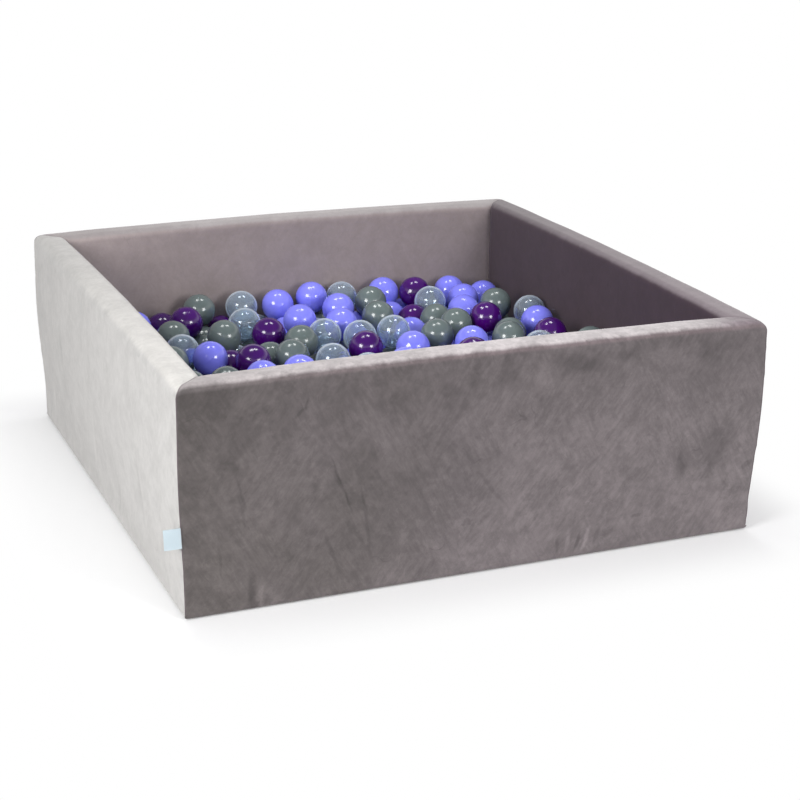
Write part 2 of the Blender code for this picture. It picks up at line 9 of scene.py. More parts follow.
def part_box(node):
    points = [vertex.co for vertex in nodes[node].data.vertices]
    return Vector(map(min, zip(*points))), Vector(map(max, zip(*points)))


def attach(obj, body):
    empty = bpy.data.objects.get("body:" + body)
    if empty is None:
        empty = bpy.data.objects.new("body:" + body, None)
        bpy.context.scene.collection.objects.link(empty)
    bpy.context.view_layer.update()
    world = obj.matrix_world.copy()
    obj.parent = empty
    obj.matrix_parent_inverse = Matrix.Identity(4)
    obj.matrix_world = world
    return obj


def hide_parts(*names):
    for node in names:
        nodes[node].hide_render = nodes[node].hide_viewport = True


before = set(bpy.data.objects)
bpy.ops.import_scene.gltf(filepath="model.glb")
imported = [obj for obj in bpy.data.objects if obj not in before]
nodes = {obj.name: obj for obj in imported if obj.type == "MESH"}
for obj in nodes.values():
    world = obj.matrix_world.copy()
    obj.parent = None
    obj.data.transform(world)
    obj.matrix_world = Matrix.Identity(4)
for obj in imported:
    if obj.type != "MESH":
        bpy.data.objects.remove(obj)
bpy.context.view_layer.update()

# The pit's own sizes in metres, as its solids have them. The front is towards -Y.
pit = {
    "width": 1.10,
    "depth": 1.10,
    "height": 0.407,
    "wall": 0.060,
    "fabric": 0.0022,
    "gap": 0.0003,
    "floorTop": 0.035,        # top of the floor skin
    "innerFoot": 0.0328,      # where the inner face of a wall cover ends
    "rimOuter": 0.020,
    "rimInner": 0.016,
    "rimCrown": 0.006,
    "footRadius": 0.009,
    "footDrawIn": 0.007,
    "footBand": 0.045,
    "underTurn": 0.018,
    "sideSwell": 0.004,
    "faceSwell": 0.004,
}
insideWidth = pit["width"] - 2 * pit["wall"]
insideDepth = pit["depth"] - 2 * pit["wall"]

# Camera where the photographer stood
photoCamera = {
    "azimuth": -22.87,
    "elevation": 18.867,
    "roll": 0.826,
    "target": (0.0513, -0.0317, 0.15),
    "distance": 3.5051,
    "lens": 79.05,
    "sensor": 36.0,
    "farthest": 100,
}


def addCamera():
    azimuth, elevation, roll = (math.radians(photoCamera[key]) for key in ("azimuth", "elevation", "roll"))
    level = math.cos(elevation)
    back = Vector((math.sin(azimuth) * level, -math.cos(azimuth) * level, math.sin(elevation)))
    across = Vector((0, 0, 1)).cross(back).normalized()
    right = math.cos(roll) * across + math.sin(roll) * back.cross(across)
    data = bpy.data.cameras.new("photoCamera")
    data.lens = photoCamera["lens"]
    data.sensor_width = photoCamera["sensor"]
    data.clip_end = photoCamera["farthest"]
    camera = bpy.data.objects.new("photoCamera", data)
    turn = Matrix((right, back.cross(right), back)).transposed().to_4x4()
    place = Vector(photoCamera["target"]) + back * photoCamera["distance"]
    camera.matrix_world = Matrix.Translation(place) @ turn
    bpy.context.scene.collection.objects.link(camera)
    bpy.context.scene.camera = camera


addCamera()
bpy.context.scene.view_settings.view_transform = "Standard"

# Lamps: a soft one on either side of the camera, two weaker ones above
studio = {
    "middle": (0.0, 0.0, 0.25),
    "fill": (0.98, 0.98, 1.0, 1),
    "fillStrength": 0.60,
    "backdropTop": 0.34,      # how steeply upwards the white backdrop ends and the ceiling starts
    "ceilingFrom": 0.62,
    "ceiling": 0.22,
    "lamps": {
        "leftSoftbox": {"towards": (-0.800, -0.440, 0.405), "distance": 3.6, "size": (1.3, 1.4), "power": 76},
        "rightSoftbox": {"towards": (0.294, -0.895, 0.335), "distance": 3.6, "size": (1.1, 1.2), "power": 54},
        "topLeftStrip": {"towards": (-0.190, 0.240, 0.952), "distance": 3.0, "size": (0.7, 0.5), "power": 13},
        "topRightStrip": {"towards": (0.240, 0.200, 0.950), "distance": 3.0, "size": (0.7, 0.5), "power": 13},
    },
    "floorColour": (0.80, 0.80, 0.80),
    "floorGlow": 0.08,        # lifts the lit floor to white in the picture, its shadow stays
    "whiteFrom": 0.56,        # this far out along either axis the floor starts to turn plain white
    "whiteAt": 0.76,
    "floorSize": 60.0,
    "floorLevel": -0.0006,
}


def addLamps():
    for name, lamp in studio["lamps"].items():
        data = bpy.data.lights.new(name, "AREA")
        data.shape = "RECTANGLE"
        data.size, data.size_y = lamp["size"]
        data.energy = lamp["power"]
        towards = Vector(lamp["towards"]).normalized()
        thing = bpy.data.objects.new(name, data)
        turn = towards.to_track_quat("Z", "Y").to_matrix().to_4x4()
        thing.matrix_world = Matrix.Translation(Vector(studio["middle"]) + towards * lamp["distance"]) @ turn
        bpy.context.scene.collection.objects.link(thing)


def plug(tree, target, inputs):
    for key, value in inputs.items():
        if isinstance(value, bpy.types.NodeSocket):
            tree.links.new(value, target.inputs[key])
        else:
            target.inputs[key].default_value = value


def node(tree, kind, inputs=None, **settings):
    made = tree.nodes.new("ShaderNode" + kind)
    for key, value in settings.items():
        setattr(made, key, value)
    plug(tree, made, inputs or {})
    return made


def maths(tree, operation, first, second=0.0):
    return node(tree, "Math", {0: first, 1: second}, operation=operation).outputs[0]


def times(tree, first, second):
    return maths(tree, "MULTIPLY", first, second)


def between(tree, value, low, high, toLow=0.0, toHigh=1.0, smooth=True):
    kind = "SMOOTHSTEP" if smooth else "LINEAR"
    return node(tree, "MapRange", {"Value": value, "From Min": low, "From Max": high,
                "To Min": toLow, "To Max": toHigh}, interpolation_type=kind).outputs[0]


def axisOf(tree, where, axis):
    return node(tree, "SeparateXYZ", {0: where}).outputs[axis]


def seenDirectly(tree):
    path = node(tree, "LightPath")
    either = maths(tree, "MAXIMUM", path.outputs["Is Camera Ray"], path.outputs["Is Glossy Ray"])
    return maths(tree, "MAXIMUM", either, path.outputs["Is Transmission Ray"])


# Even fill light, and for direct rays a white backdrop all round under a dim ceiling
def addWorld():
    world = bpy.data.worlds.new("studio")
    bpy.context.scene.world = world
    world.use_nodes = True
    tree = world.node_tree
    tree.nodes.clear()
    fill = node(tree, "Background", {"Color": studio["fill"], "Strength": studio["fillStrength"]})
    upwards = axisOf(tree, node(tree, "TexCoord").outputs["Generated"], "Z")
    shown = between(tree, upwards, studio["backdropTop"], studio["ceilingFrom"], 1.0, studio["ceiling"])
    white = node(tree, "Background", {"Color": (1, 1, 1, 1), "Strength": shown})
    mix = node(tree, "MixShader", {0: seenDirectly(tree), 1: fill.outputs[0], 2: white.outputs[0]})
    node(tree, "OutputWorld", {"Surface": mix.outputs[0]})


def addFloor():
    material = bpy.data.materials.new("studioFloor")
    material.use_nodes = True
    tree = material.node_tree
    tree.nodes.clear()
    lit = node(tree, "BsdfDiffuse", {"Color": (*studio["floorColour"], 1)})
    glow = node(tree, "Emission", {"Strength": studio["floorGlow"]})
    near = node(tree, "AddShader", {0: lit.outputs[0], 1: glow.outputs[0]})
    far = node(tree, "Emission", {"Strength": 1.0})
    place = node(tree, "TexCoord").outputs["Object"]
    out = [maths(tree, "ABSOLUTE", axisOf(tree, place, axis)) for axis in "XY"]
    away = between(tree, maths(tree, "MAXIMUM", *out), studio["whiteFrom"], studio["whiteAt"])
    shown = node(tree, "MixShader", {0: away, 1: near.outputs[0], 2: far.outputs[0]})
    seen = seenDirectly(tree)
    either = node(tree, "MixShader", {0: seen, 1: lit.outputs[0], 2: shown.outputs[0]})
    node(tree, "OutputMaterial", {"Surface": either.outputs[0]})
    bpy.ops.mesh.primitive_plane_add(size=studio["floorSize"], location=(0, 0, studio["floorLevel"]))
    floor = bpy.context.active_object
    floor.name = "studioFloor"
    floor.data.materials.append(material)


addLamps()
addWorld()
addFloor()
print("camera, lamps and floor are set")


# Velvet. Each panel has a tone of its own outside, inside and along the rim: partly the way
# its pile was brushed, partly painted light and shade, paler where the lamps fall on it.
velvet = {
    "finish": {"Roughness": 0.88, "Specular IOR Level": 0.25, "Sheen Weight": 0.30,
               "Sheen Roughness": 0.45, "Sheen Tint": (1.0, 0.96, 0.95, 1)},
    # Noise in the pile: scale, detail, roughness, then where a patch starts and is full
    "broad": (3.1, 4, 0.55, 0.35, 0.65), "patchy": (17, 8, 0.74, 0.40, 0.60),
    "brushed": (58, 5, 0.7, 0.38, 0.62), "strokeEdges": (1.0, 6, 0.70, 0.38, 0.62),
    "strokeAreas": (8.0, 3, 0.6, 0.44, 0.56), "pile": (640, 2, 0.6),
    "smudges": (28, 3, 0.6, 0.58, 0.66), "smudgeAreas": (6, 1, 0.5, 0.52, 0.60),
    # How much darker and paler than the panel each makes it
    "broadTone": 0.06, "patchyTone": 0.095, "brushedTone": 0.07, "pileTone": 0.06, "smudgeTone": -0.13,
    "strokeLeans": (0.62, -0.50), "strokeWidth": 0.0085, "strokeLength": 0.042,
    # Short curved lines where the pile was pressed the other way: scale, half width, change of tone
    "lines": ((17, 0.010, -0.20), (23, 0.008, 0.16)),
    "lineSpread": 1.4, "lineAreas": (1, 0.5, 0.58, 0.68),
    "sideBlend": 0.2, "endWander": 0.10, "rimWander": 0.03, "toneFrom": 0.02, "toneTo": 0.38,
    "reliefDepth": 0.0004, "reliefStrength": 0.6, "patchRelief": 0.4, "pileRelief": 0.6,
    "rimFrom": 0.34, "rimTo": 0.82,      # how steeply upwards the rim's own tone starts and is full
    # Panel tones with painted light and shade: a pale left side, a dark front, paler rims on top, one end of
    # a panel darker than the other
    "panels": {
        "front": {"outwards": (0, -1, 0), "across": "X", "turnsFrom": -0.5, "turnsTo": -0.05,
                  "outer": (0.073, 0.0642, 0.0622), "outerFar": (0.111, 0.096, 0.099),
                  "rim": (0.290, 0.264, 0.262), "rimFar": (0.450, 0.414, 0.416),
                  "inner": (0.160, 0.135, 0.140),
                  "rimCornerShade": (0.185, 0.150, 0.165), "cornerFrom": 0.400, "cornerTo": 0.510,
                  "edge": (0.110, 0.098, 0.097), "edgeFar": (0.145, 0.115, 0.121),
                  "edgeFrom": 0.26, "edgeTo": 0.58, "rimFrom": 0.60, "rimTo": 0.92,
                  "marks": 1.0, "strokes": 0.085, "lowTone": 1.42, "highTone": 0.92},
        "left": {"outwards": (-1, 0, 0), "across": "Y", "turnsFrom": -0.5, "turnsTo": 0.5,
                 "outer": (0.440, 0.432, 0.418), "outerFar": (0.385, 0.378, 0.365),
                 "rim": (0.545, 0.532, 0.506), "rimFar": (0.385, 0.377, 0.362),
                 "inner": (0.200, 0.170, 0.175),
                 "marks": 0.5, "strokes": 0.025, "lowTone": 1.04, "highTone": 0.98},
        "back": {"outwards": (0, 1, 0), "across": "X", "turnsFrom": -0.5, "turnsTo": -0.1,
                 "outer": (0.190, 0.160, 0.165), "outerFar": (0.170, 0.145, 0.150),
                 "rim": (0.275, 0.247, 0.246), "rimFar": (0.335, 0.308, 0.306),
                 "inner": (0.366, 0.310, 0.302), "innerFar": (0.281, 0.236, 0.233),
                 "marks": 0.4, "strokes": 0.025, "lowTone": 1.0, "highTone": 1.0},
        "right": {"outwards": (1, 0, 0), "across": "Y", "turnsFrom": -0.5, "turnsTo": 0.5,
                  "outer": (0.200, 0.170, 0.178), "outerFar": (0.180, 0.152, 0.158),
                  "rim": (0.204, 0.170, 0.184), "rimFar": (0.134, 0.113, 0.122),
                  "inner": (0.052, 0.0315, 0.0430),
                  "marks": 0.5, "strokes": 0.03, "lowTone": 1.0, "highTone": 1.0},
    },
}


def mixColour(tree, factor, first, second, blend="MIX"):
    first, second = (c if isinstance(c, bpy.types.NodeSocket) else (*c, 1) for c in (first, second))
    return node(tree, "Mix", {0: factor, 6: first, 7: second},
                data_type="RGBA", blend_type=blend).outputs[2]


def vectors(tree, operation, first, second):
    return node(tree, "VectorMath", {0: first, 1: second}, operation=operation).outputs[0]


def noiseOf(tree, where, scale, detail=3.0, rough=0.5, bend=0.0):
    return node(tree, "TexNoise", {"Vector": where, "Scale": scale, "Detail": detail,
                "Roughness": rough, "Distortion": bend}).outputs["Fac"]


def patchesOf(tree, where, scale, detail, rough, start, full):
    return between(tree, noiseOf(tree, where, scale, detail, rough), start, full)


def shaded(tree, colour, tone):
    grey = node(tree, "CombineColor", {0: tone, 1: tone, 2: tone}).outputs[0]
    return mixColour(tree, 1.0, colour, grey, "MULTIPLY")


def toned(tree, tone, layer, low, high):
    return times(tree, tone, between(tree, layer, 0, 1, low, high, False))


def newMaterial(name, surface, *details):
    material = bpy.data.materials.new(name)
    material.use_nodes = True
    tree = material.node_tree
    surface(tree, node(tree, "TexCoord").outputs["Object"], *details)
    return material


def setSurface(tree, colour, finish, relief=None, depth=0.0, strength=1.0):
    shader = tree.nodes["Principled BSDF"]
    plug(tree, shader, {"Base Color": colour, **finish})
    if relief is not None:
        bump = node(tree, "Bump", {"Height": relief, "Distance": depth, "Strength": strength})
        plug(tree, shader, {"Normal": bump.outputs[0]})


# Creases: place along the wall, height, length, width, lean from upright in degrees, rise
creases = {
    "front": (
        (-0.424, 0.000, 0.190, 0.0068, 1, -0.0016), (-0.409, 0.020, 0.090, 0.0035, 2, 0.0012),
        (-0.445, 0.190, 0.090, 0.0030, 10, -0.0009), (-0.270, 0.205, 0.110, 0.0032, 25, -0.0009),
        (-0.288, 0.090, 0.120, 0.0032, 22, -0.0009), (-0.222, 0.115, 0.150, 0.0030, 9, -0.0008),
        (-0.481, 0.098, 0.085, 0.0025, 6, -0.0009), (0.164, 0.034, 0.056, 0.0036, -9, 0.0017),
        (0.184, 0.030, 0.058, 0.0030, -14, -0.0014), (0.200, 0.034, 0.060, 0.0038, -18, 0.0020),
        (0.222, 0.036, 0.050, 0.0032, -20, -0.0010), (0.142, 0.030, 0.040, 0.0030, 0, -0.0010),
        (0.008, 0.160, 0.150, 0.0032, 39, -0.0007), (-0.050, 0.235, 0.130, 0.0030, 42, -0.0006),
        (0.386, 0.155, 0.075, 0.0080, 8, -0.0009), (-0.345, 0.341, 0.040, 0.0024, -50, -0.0011),
    ),
    "left": (
        (-0.30, 0.150, 0.160, 0.0060, -6, -0.0009), (0.05, 0.110, 0.150, 0.0070, 8, 0.0010),
        (0.30, 0.200, 0.200, 0.0080, -4, -0.0009), (0.43, 0.080, 0.090, 0.0050, 6, 0.0010),
        (-0.12, 0.060, 0.080, 0.0050, 3, -0.0010),
    ),
    "right": (
        (-0.36, 0.070, 0.110, 0.0060, 8, -0.0010), (0.10, 0.050, 0.080, 0.0050, -7, 0.0012),
        (0.33, 0.160, 0.140, 0.0070, 12, -0.0009),
    ),
    "back": (
        (-0.30, 0.090, 0.090, 0.0055, -8, 0.0010), (0.12, 0.080, 0.080, 0.0050, 6, -0.0010),
        (0.38, 0.150, 0.130, 0.0070, -11, -0.0009),
    ),
}


marking = {
    "creaseShadeContrast": 200,    # painted shade in a hollow, painted light on a ridge, per metre of depth
    "reach": 1.7,             # a mark fades out this many widths from its middle
    "fullAt": 0.7,
    "through": 9,             # it goes through the whole wall
    "wander": 0.016,
    "wanderScale": 22,
    "wanderDetail": 3,
}
# Patches of pile that a hand has turned, and thin dark lines along the front's creases that are painted
# crease shade:
# place along the wall, height, length, width, lean in degrees, change of tone
turnedPileAndCreaseShade = {
    "front": (
        (0.033, 0.365, 0.070, 0.017, 10, -0.24), (-0.031, 0.363, 0.050, 0.013, 20, -0.22),
        (-0.080, 0.350, 0.060, 0.010, 60, -0.15), (0.169, 0.368, 0.040, 0.032, -10, -0.25),
        (0.262, 0.377, 0.034, 0.022, 10, -0.20), (0.433, 0.362, 0.060, 0.022, 15, -0.16),
        (0.392, 0.165, 0.090, 0.009, 6, -0.20), (0.450, 0.180, 0.150, 0.038, 8, -0.19),
        (0.530, 0.135, 0.018, 0.012, 30, -0.20), (0.245, 0.040, 0.022, 0.013, 20, -0.20),
        (0.300, 0.065, 0.012, 0.009, 0, -0.20), (0.100, 0.350, 0.060, 0.014, 40, 0.13),
        (0.330, 0.375, 0.060, 0.020, 25, 0.10), (0.345, 0.290, 0.030, 0.012, 0, 0.10),
        (-0.465, 0.100, 0.260, 0.060, 0, 0.14), (-0.010, 0.140, 0.300, 0.045, 20, -0.13),
        (-0.445, 0.212, 0.085, 0.0020, 12, -0.22), (-0.281, 0.234, 0.075, 0.0020, 24, -0.24),
        (-0.256, 0.171, 0.085, 0.0020, 20, -0.20), (-0.231, 0.175, 0.065, 0.0020, 17, -0.20),
        (-0.331, 0.357, 0.034, 0.0022, -15, -0.26), (-0.222, 0.215, 0.020, 0.0060, 0, -0.10),
    ),
}


# Painted shade and light of the creases: darker in a hollow, paler on a ridge, with the patches of turned
# pile added the same way
def creaseShadeAndPileMarks(tree, place, alongX, marks):
    wander = node(tree, "TexNoise", {"Vector": place, "Scale": marking["wanderScale"],
                  "Detail": marking["wanderDetail"]}).outputs["Color"]
    shift = vectors(tree, "SUBTRACT", wander, (0.5, 0.5, 0.5))
    shift = vectors(tree, "MULTIPLY", shift, (marking["wander"],) * 3)
    where = vectors(tree, "ADD", place, shift)
    through = marking["through"]
    tone = 1.0
    for middle, level, length, width, lean, change in marks:
        reach = marking["reach"] * width
        turn = math.radians(lean)
        setting = {"Location": (middle, 0, level) if alongX else (0, middle, level),
                   "Rotation": (0, -turn, 0) if alongX else (turn, 0, 0),
                   "Scale": (reach, through, length / 2) if alongX else (through, reach, length / 2)}
        local = node(tree, "Mapping", {"Vector": where, **setting}, vector_type="TEXTURE")
        fall = node(tree, "TexGradient", {"Vector": local.outputs[0]}, gradient_type="SPHERICAL")
        change = between(tree, fall.outputs["Fac"], 0, marking["fullAt"], 1, 1 + change)
        tone = times(tree, tone, change)
    return tone


# Short strokes of the brush, leaning one way in some patches and the other way in others
def brushStrokes(tree, place, alongX):
    size = (velvet["strokeWidth"], velvet["strokeWidth"], velvet["strokeLength"])
    ways = []
    for lean in velvet["strokeLeans"]:
        setting = {"Rotation": (0, lean, 0) if alongX else (-lean, 0, 0), "Scale": size}
        leaning = node(tree, "Mapping", {"Vector": place, **setting}, vector_type="TEXTURE")
        ways.append(patchesOf(tree, leaning.outputs[0], *velvet["strokeEdges"]))
    areas = patchesOf(tree, place, *velvet["strokeAreas"])
    return node(tree, "Mix", {0: areas, 2: ways[0], 3: ways[1]}, data_type="FLOAT").outputs[0]


def velvetSurface(tree, place, side):
    panel = velvet["panels"][side]
    facing = node(tree, "TexCoord").outputs["Normal"]
    upwards = axisOf(tree, facing, "Z")
    outwards = node(tree, "VectorMath", {0: facing, 1: panel["outwards"]}, operation="DOT_PRODUCT")
    isOutside = between(tree, outwards.outputs["Value"], -velvet["sideBlend"], velvet["sideBlend"])
    marks = panel["marks"]
    broad = patchesOf(tree, place, *velvet["broad"])
    patchy = patchesOf(tree, place, *velvet["patchy"])
    brushed = patchesOf(tree, place, *velvet["brushed"])
    strokes = brushStrokes(tree, place, panel["across"] == "X")
    pile = noiseOf(tree, place, *velvet["pile"])

    # The panel's tones, with painted light and shade in them, from one end to the other and from the foot to
    # the rim
    along = axisOf(tree, place, panel["across"])
    shift = between(tree, broad, 0, 1, -velvet["endWander"], velvet["endWander"], False)
    end = between(tree, maths(tree, "ADD", along, shift), panel["turnsFrom"], panel["turnsTo"])
    outer = mixColour(tree, end, panel["outer"], panel["outerFar"])
    rim = mixColour(tree, end, panel["rim"], panel["rimFar"])
    inner = mixColour(tree, end, panel["inner"], panel.get("innerFar", panel["inner"]))
    # Painted shade along the front rim towards its corner
    if "rimCornerShade" in panel:
        cornerShadeShare = between(tree, along, panel["cornerFrom"], panel["cornerTo"])
        rim = mixColour(tree, cornerShadeShare, rim, panel["rimCornerShade"])
    height = between(tree, axisOf(tree, place, "Z"), velvet["toneFrom"], velvet["toneTo"],
                     panel["lowTone"], panel["highTone"], False)
    # Painted crease shade and light: each crease's depth becomes a change of tone
    seen = [(*crease[:5], crease[5] * marking["creaseShadeContrast"] * marks) for crease in creases[side]]
    seen += turnedPileAndCreaseShade.get(side, ())
    height = times(tree, height, creaseShadeAndPileMarks(tree, place, panel["across"] == "X", seen))
    face = mixColour(tree, isOutside, inner, shaded(tree, outer, height))
    # Painted shade on the front's rounded top edge, between the dark face and the paler rim
    if "edge" in panel:
        edge = mixColour(tree, end, panel["edge"], panel["edgeFar"])
        turned = between(tree, upwards, panel["edgeFrom"], panel["edgeTo"])
        face = mixColour(tree, times(tree, turned, isOutside), face, edge)
    # Painted light on top: the rim's paler tone, partly the pile's own tone
    shift = between(tree, patchy, 0, 1, -velvet["rimWander"], velvet["rimWander"], False)
    upper = between(tree, maths(tree, "ADD", upwards, shift), panel.get("rimFrom", velvet["rimFrom"]),
                    panel.get("rimTo", velvet["rimTo"]))
    colour = mixColour(tree, upper, face, rim)

    # Tone of the brushed pile, as a multiplier round 1
    tone = 1.0
    for layer, depth in ((broad, velvet["broadTone"] * marks), (patchy, velvet["patchyTone"] * marks),
                         (brushed, velvet["brushedTone"] * marks), (strokes, panel["strokes"]),
                         (pile, velvet["pileTone"])):
        tone = toned(tree, tone, layer, 1 - depth, 1 + depth)
    for scale, near, change in velvet["lines"]:
        ridge = maths(tree, "ABSOLUTE", maths(tree, "SUBTRACT", noiseOf(tree, place, scale, 1, 0.5), 0.5))
        sparse = patchesOf(tree, place, velvet["lineSpread"] * scale, *velvet["lineAreas"])
        lines = times(tree, between(tree, ridge, 0.0, near, 1, 0), sparse)
        tone = toned(tree, tone, lines, 1.0, 1 + change * marks)
    smudges = [patchesOf(tree, place, *velvet[name]) for name in ("smudges", "smudgeAreas")]
    tone = toned(tree, tone, times(tree, *smudges), 1.0, 1 + velvet["smudgeTone"] * marks)
    relief = maths(tree, "ADD", times(tree, patchy, velvet["patchRelief"]),
                   times(tree, pile, velvet["pileRelief"]))
    setSurface(tree, shaded(tree, colour, tone), velvet["finish"],
               relief, velvet["reliefDepth"], velvet["reliefStrength"])


foam = {"cells": 520, "pale": (0.86, 0.84, 0.72), "deep": (0.74, 0.71, 0.58), "deepAt": 0.6,
        "cellDepth": 0.0006, "finish": {"Roughness": 0.95}}


def foamSurface(tree, place):
    cells = node(tree, "TexVoronoi", {"Vector": place, "Scale": foam["cells"]}).outputs["Distance"]
    colour = mixColour(tree, between(tree, cells, 0, foam["deepAt"]), foam["pale"], foam["deep"])
    setSurface(tree, colour, foam["finish"], cells, foam["cellDepth"])


# Plain weaves, pitch in metres
woven = {
    "lining": {"colour": (0.30, 0.29, 0.29), "pitch": 0.0016, "finish": {"Roughness": 0.8}},
    "zipTape": {"colour": (0.23, 0.21, 0.21), "pitch": 0.0011, "finish": {"Roughness": 0.8}},
    "zipCoil": {"colour": (0.26, 0.24, 0.24), "pitch": 0.0007, "finish": {"Roughness": 0.45}},
}
weaveDepth = {"shade": 0.72, "relief": 0.0002}


def wovenSurface(tree, place, look):
    turns = 2 * math.pi / look["pitch"]
    across = maths(tree, "SINE", times(tree, axisOf(tree, place, "X"), turns))
    upAlong = maths(tree, "ADD", axisOf(tree, place, "Y"), axisOf(tree, place, "Z"))
    down = maths(tree, "SINE", times(tree, upAlong, turns))
    weave = between(tree, times(tree, across, down), -1, 1, 0, 1, False)
    dark = tuple(c * weaveDepth["shade"] for c in look["colour"])
    colour = mixColour(tree, weave, dark, look["colour"])
    setSurface(tree, colour, look["finish"], weave, weaveDepth["relief"])


zipMetal = {"wear": (900, 3, 0.6), "dull": (0.36, 0.35, 0.34), "bright": (0.47, 0.46, 0.45),
            "toneWear": (0.35, 0.65), "roughWear": (0.3, 0.7), "roughness": (0.30, 0.46),
            "relief": 0.00005, "metallic": 0.85}


def metalSurface(tree, place):
    wear = noiseOf(tree, place, *zipMetal["wear"])
    worn = between(tree, wear, *zipMetal["toneWear"])
    colour = mixColour(tree, worn, zipMetal["dull"], zipMetal["bright"])
    rough = between(tree, wear, *zipMetal["roughWear"], *zipMetal["roughness"], False)
    finish = {"Roughness": rough, "Metallic": zipMetal["metallic"]}
    setSurface(tree, colour, finish, wear, zipMetal["relief"])


ribbon = {"threads": 420, "waver": 0.4, "shade": (0.36, 0.45, 0.50), "shine": (0.52, 0.60, 0.64),
          "relief": 0.00006, "finish": {"Roughness": 0.42, "Sheen Weight": 0.2}}


def ribbonSurface(tree, place):
    threads = node(tree, "TexWave", {"Vector": place, "Scale": ribbon["threads"],
                   "Distortion": ribbon["waver"]}, bands_direction="Z").outputs["Fac"]
    colour = mixColour(tree, threads, ribbon["shade"], ribbon["shine"])
    setSurface(tree, colour, ribbon["finish"], threads, ribbon["relief"])


# Blown plastic of the balls: a little scuffed, a little uneven in thickness
plastic = {
    "blue": {"colour": (0.246, 0.254, 0.97), "deep": (0.214, 0.223, 0.93), "roughness": 0.14},
    "grey": {"colour": (0.138, 0.176, 0.173), "deep": (0.121, 0.155, 0.153), "roughness": 0.16},
    "purple": {"colour": (0.058, 0.0005, 0.148), "deep": (0.045, 0.0005, 0.119), "roughness": 0.13},
    "clear": {"colour": (0.800, 0.905, 1.0), "deep": (0.740, 0.870, 1.0), "roughness": 0.03},
}
shell = {
    "cloud": (24, 2, 0.5, 0.35, 0.65),
    "scuffs": (60, 4, 0.7, 1.0), "scuffLie": {"Scale": (1, 1, 3), "Rotation": (0.6, 0.4, 0)},
    "scuffFrom": 0.45, "scuffTo": 0.75, "scuffRough": 0.10, "relief": 0.00003, "reliefStrength": 0.3,
    "index": 1.5, "gloss": 0.75,
    "clearAt": 0.34, "milkyAt": 0.96, "mostClear": 0.86, "leastClear": 0.30,
}


# A milky shell, seen through more of its thickness towards the rim
def clearFinish(tree, look):
    facing = node(tree, "LayerWeight", {"Blend": 0.5}).outputs["Facing"]
    clearness = between(tree, facing, shell["clearAt"], shell["milkyAt"],
                        shell["mostClear"], shell["leastClear"])
    return {"Transmission Weight": clearness, "Roughness": look["roughness"], "IOR": shell["index"]}


def plasticSurface(tree, place, name):
    look = plastic[name]
    cloud = patchesOf(tree, place, *shell["cloud"])
    colour = mixColour(tree, cloud, look["deep"], look["colour"])
    if name == "clear":
        setSurface(tree, colour, clearFinish(tree, look))
        return
    where = node(tree, "Mapping", {"Vector": place, **shell["scuffLie"]}).outputs[0]
    scuffs = noiseOf(tree, where, *shell["scuffs"])
    rough = between(tree, scuffs, shell["scuffFrom"], shell["scuffTo"],
                    look["roughness"], look["roughness"] + shell["scuffRough"], False)
    finish = {"Roughness": rough, "IOR": shell["index"], "Specular IOR Level": shell["gloss"]}
    setSurface(tree, colour, finish, scuffs, shell["relief"], shell["reliefStrength"])


panelLooksWithPaintedLight = {side: newMaterial("velvetWithPaintedLight_" + side, velvetSurface, side) for side in velvet["panels"]}
plasticLooks = {name: newMaterial("ball" + name.capitalize(), plasticSurface, name) for name in plastic}
wovenLooks = {name: newMaterial(name, wovenSurface, look) for name, look in woven.items()}
foamLook = newMaterial("foam", foamSurface)
metalLook = newMaterial("zipMetal", metalSurface)
ribbonLook = newMaterial("ribbon", ribbonSurface)


def dress(name, material):
    mesh = nodes[name].data
    mesh.materials.clear()
    mesh.materials.append(material)


for name in sorted(nodes):
    if name.startswith("foam_"):
        dress(name, foamLook)
    elif name.startswith("zip_tape_"):
        dress(name, wovenLooks["zipTape"])
    elif name.startswith("zip_") and "coil" not in name:
        dress(name, metalLook)
print("materials are ready")


def addPiece(name, bm, material, body="pit", smooth=True):
    mesh = bpy.data.meshes.new(name)
    bm.to_mesh(mesh)
    bm.free()
    mesh.materials.append(material)
    if smooth:
        mesh.shade_smooth()
    piece = bpy.data.objects.new(name, mesh)
    bpy.context.scene.collection.objects.link(piece)
    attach(piece, body)
    return piece


# Two layers of points become a closed cloth, apart from the places that stay open
def clothMesh(layers, isOpen=None):
    bm = bmesh.new()
    layers = [[[bm.verts.new(point) for point in line] for line in layer] for layer in layers]
    for lines, turned in zip(layers, (False, True)):
        for i, (line, after) in enumerate(zip(lines, lines[1:])):
            for k in range(len(line) - 1):
                if isOpen and isOpen(i, k):
                    continue
                loop = (line[k], after[k], after[k + 1], line[k + 1])
                bm.faces.new(reversed(loop) if turned else loop)
    twin = {}
    for first, second in zip(*layers):
        twin.update(zip(first, second))
    for edge in [e for e in bm.edges if e.is_boundary and e.verts[0] in twin and e.verts[1] in twin]:
        a, b = edge.verts
        bm.faces.new((a, b, twin[b], twin[a]))
    bmesh.ops.recalc_face_normals(bm, faces=bm.faces)
    bmesh.ops.delete(bm, geom=[v for v in bm.verts if not v.link_faces], context="VERTS")
    return bm


def shares(steps):
    return [k / steps for k in range(steps + 1)]


def lengthsAlong(points):
    lengths = [0.0]
    for a, b in zip(points, points[1:]):
        lengths.append(lengths[-1] + math.dist(a, b))
    return lengths


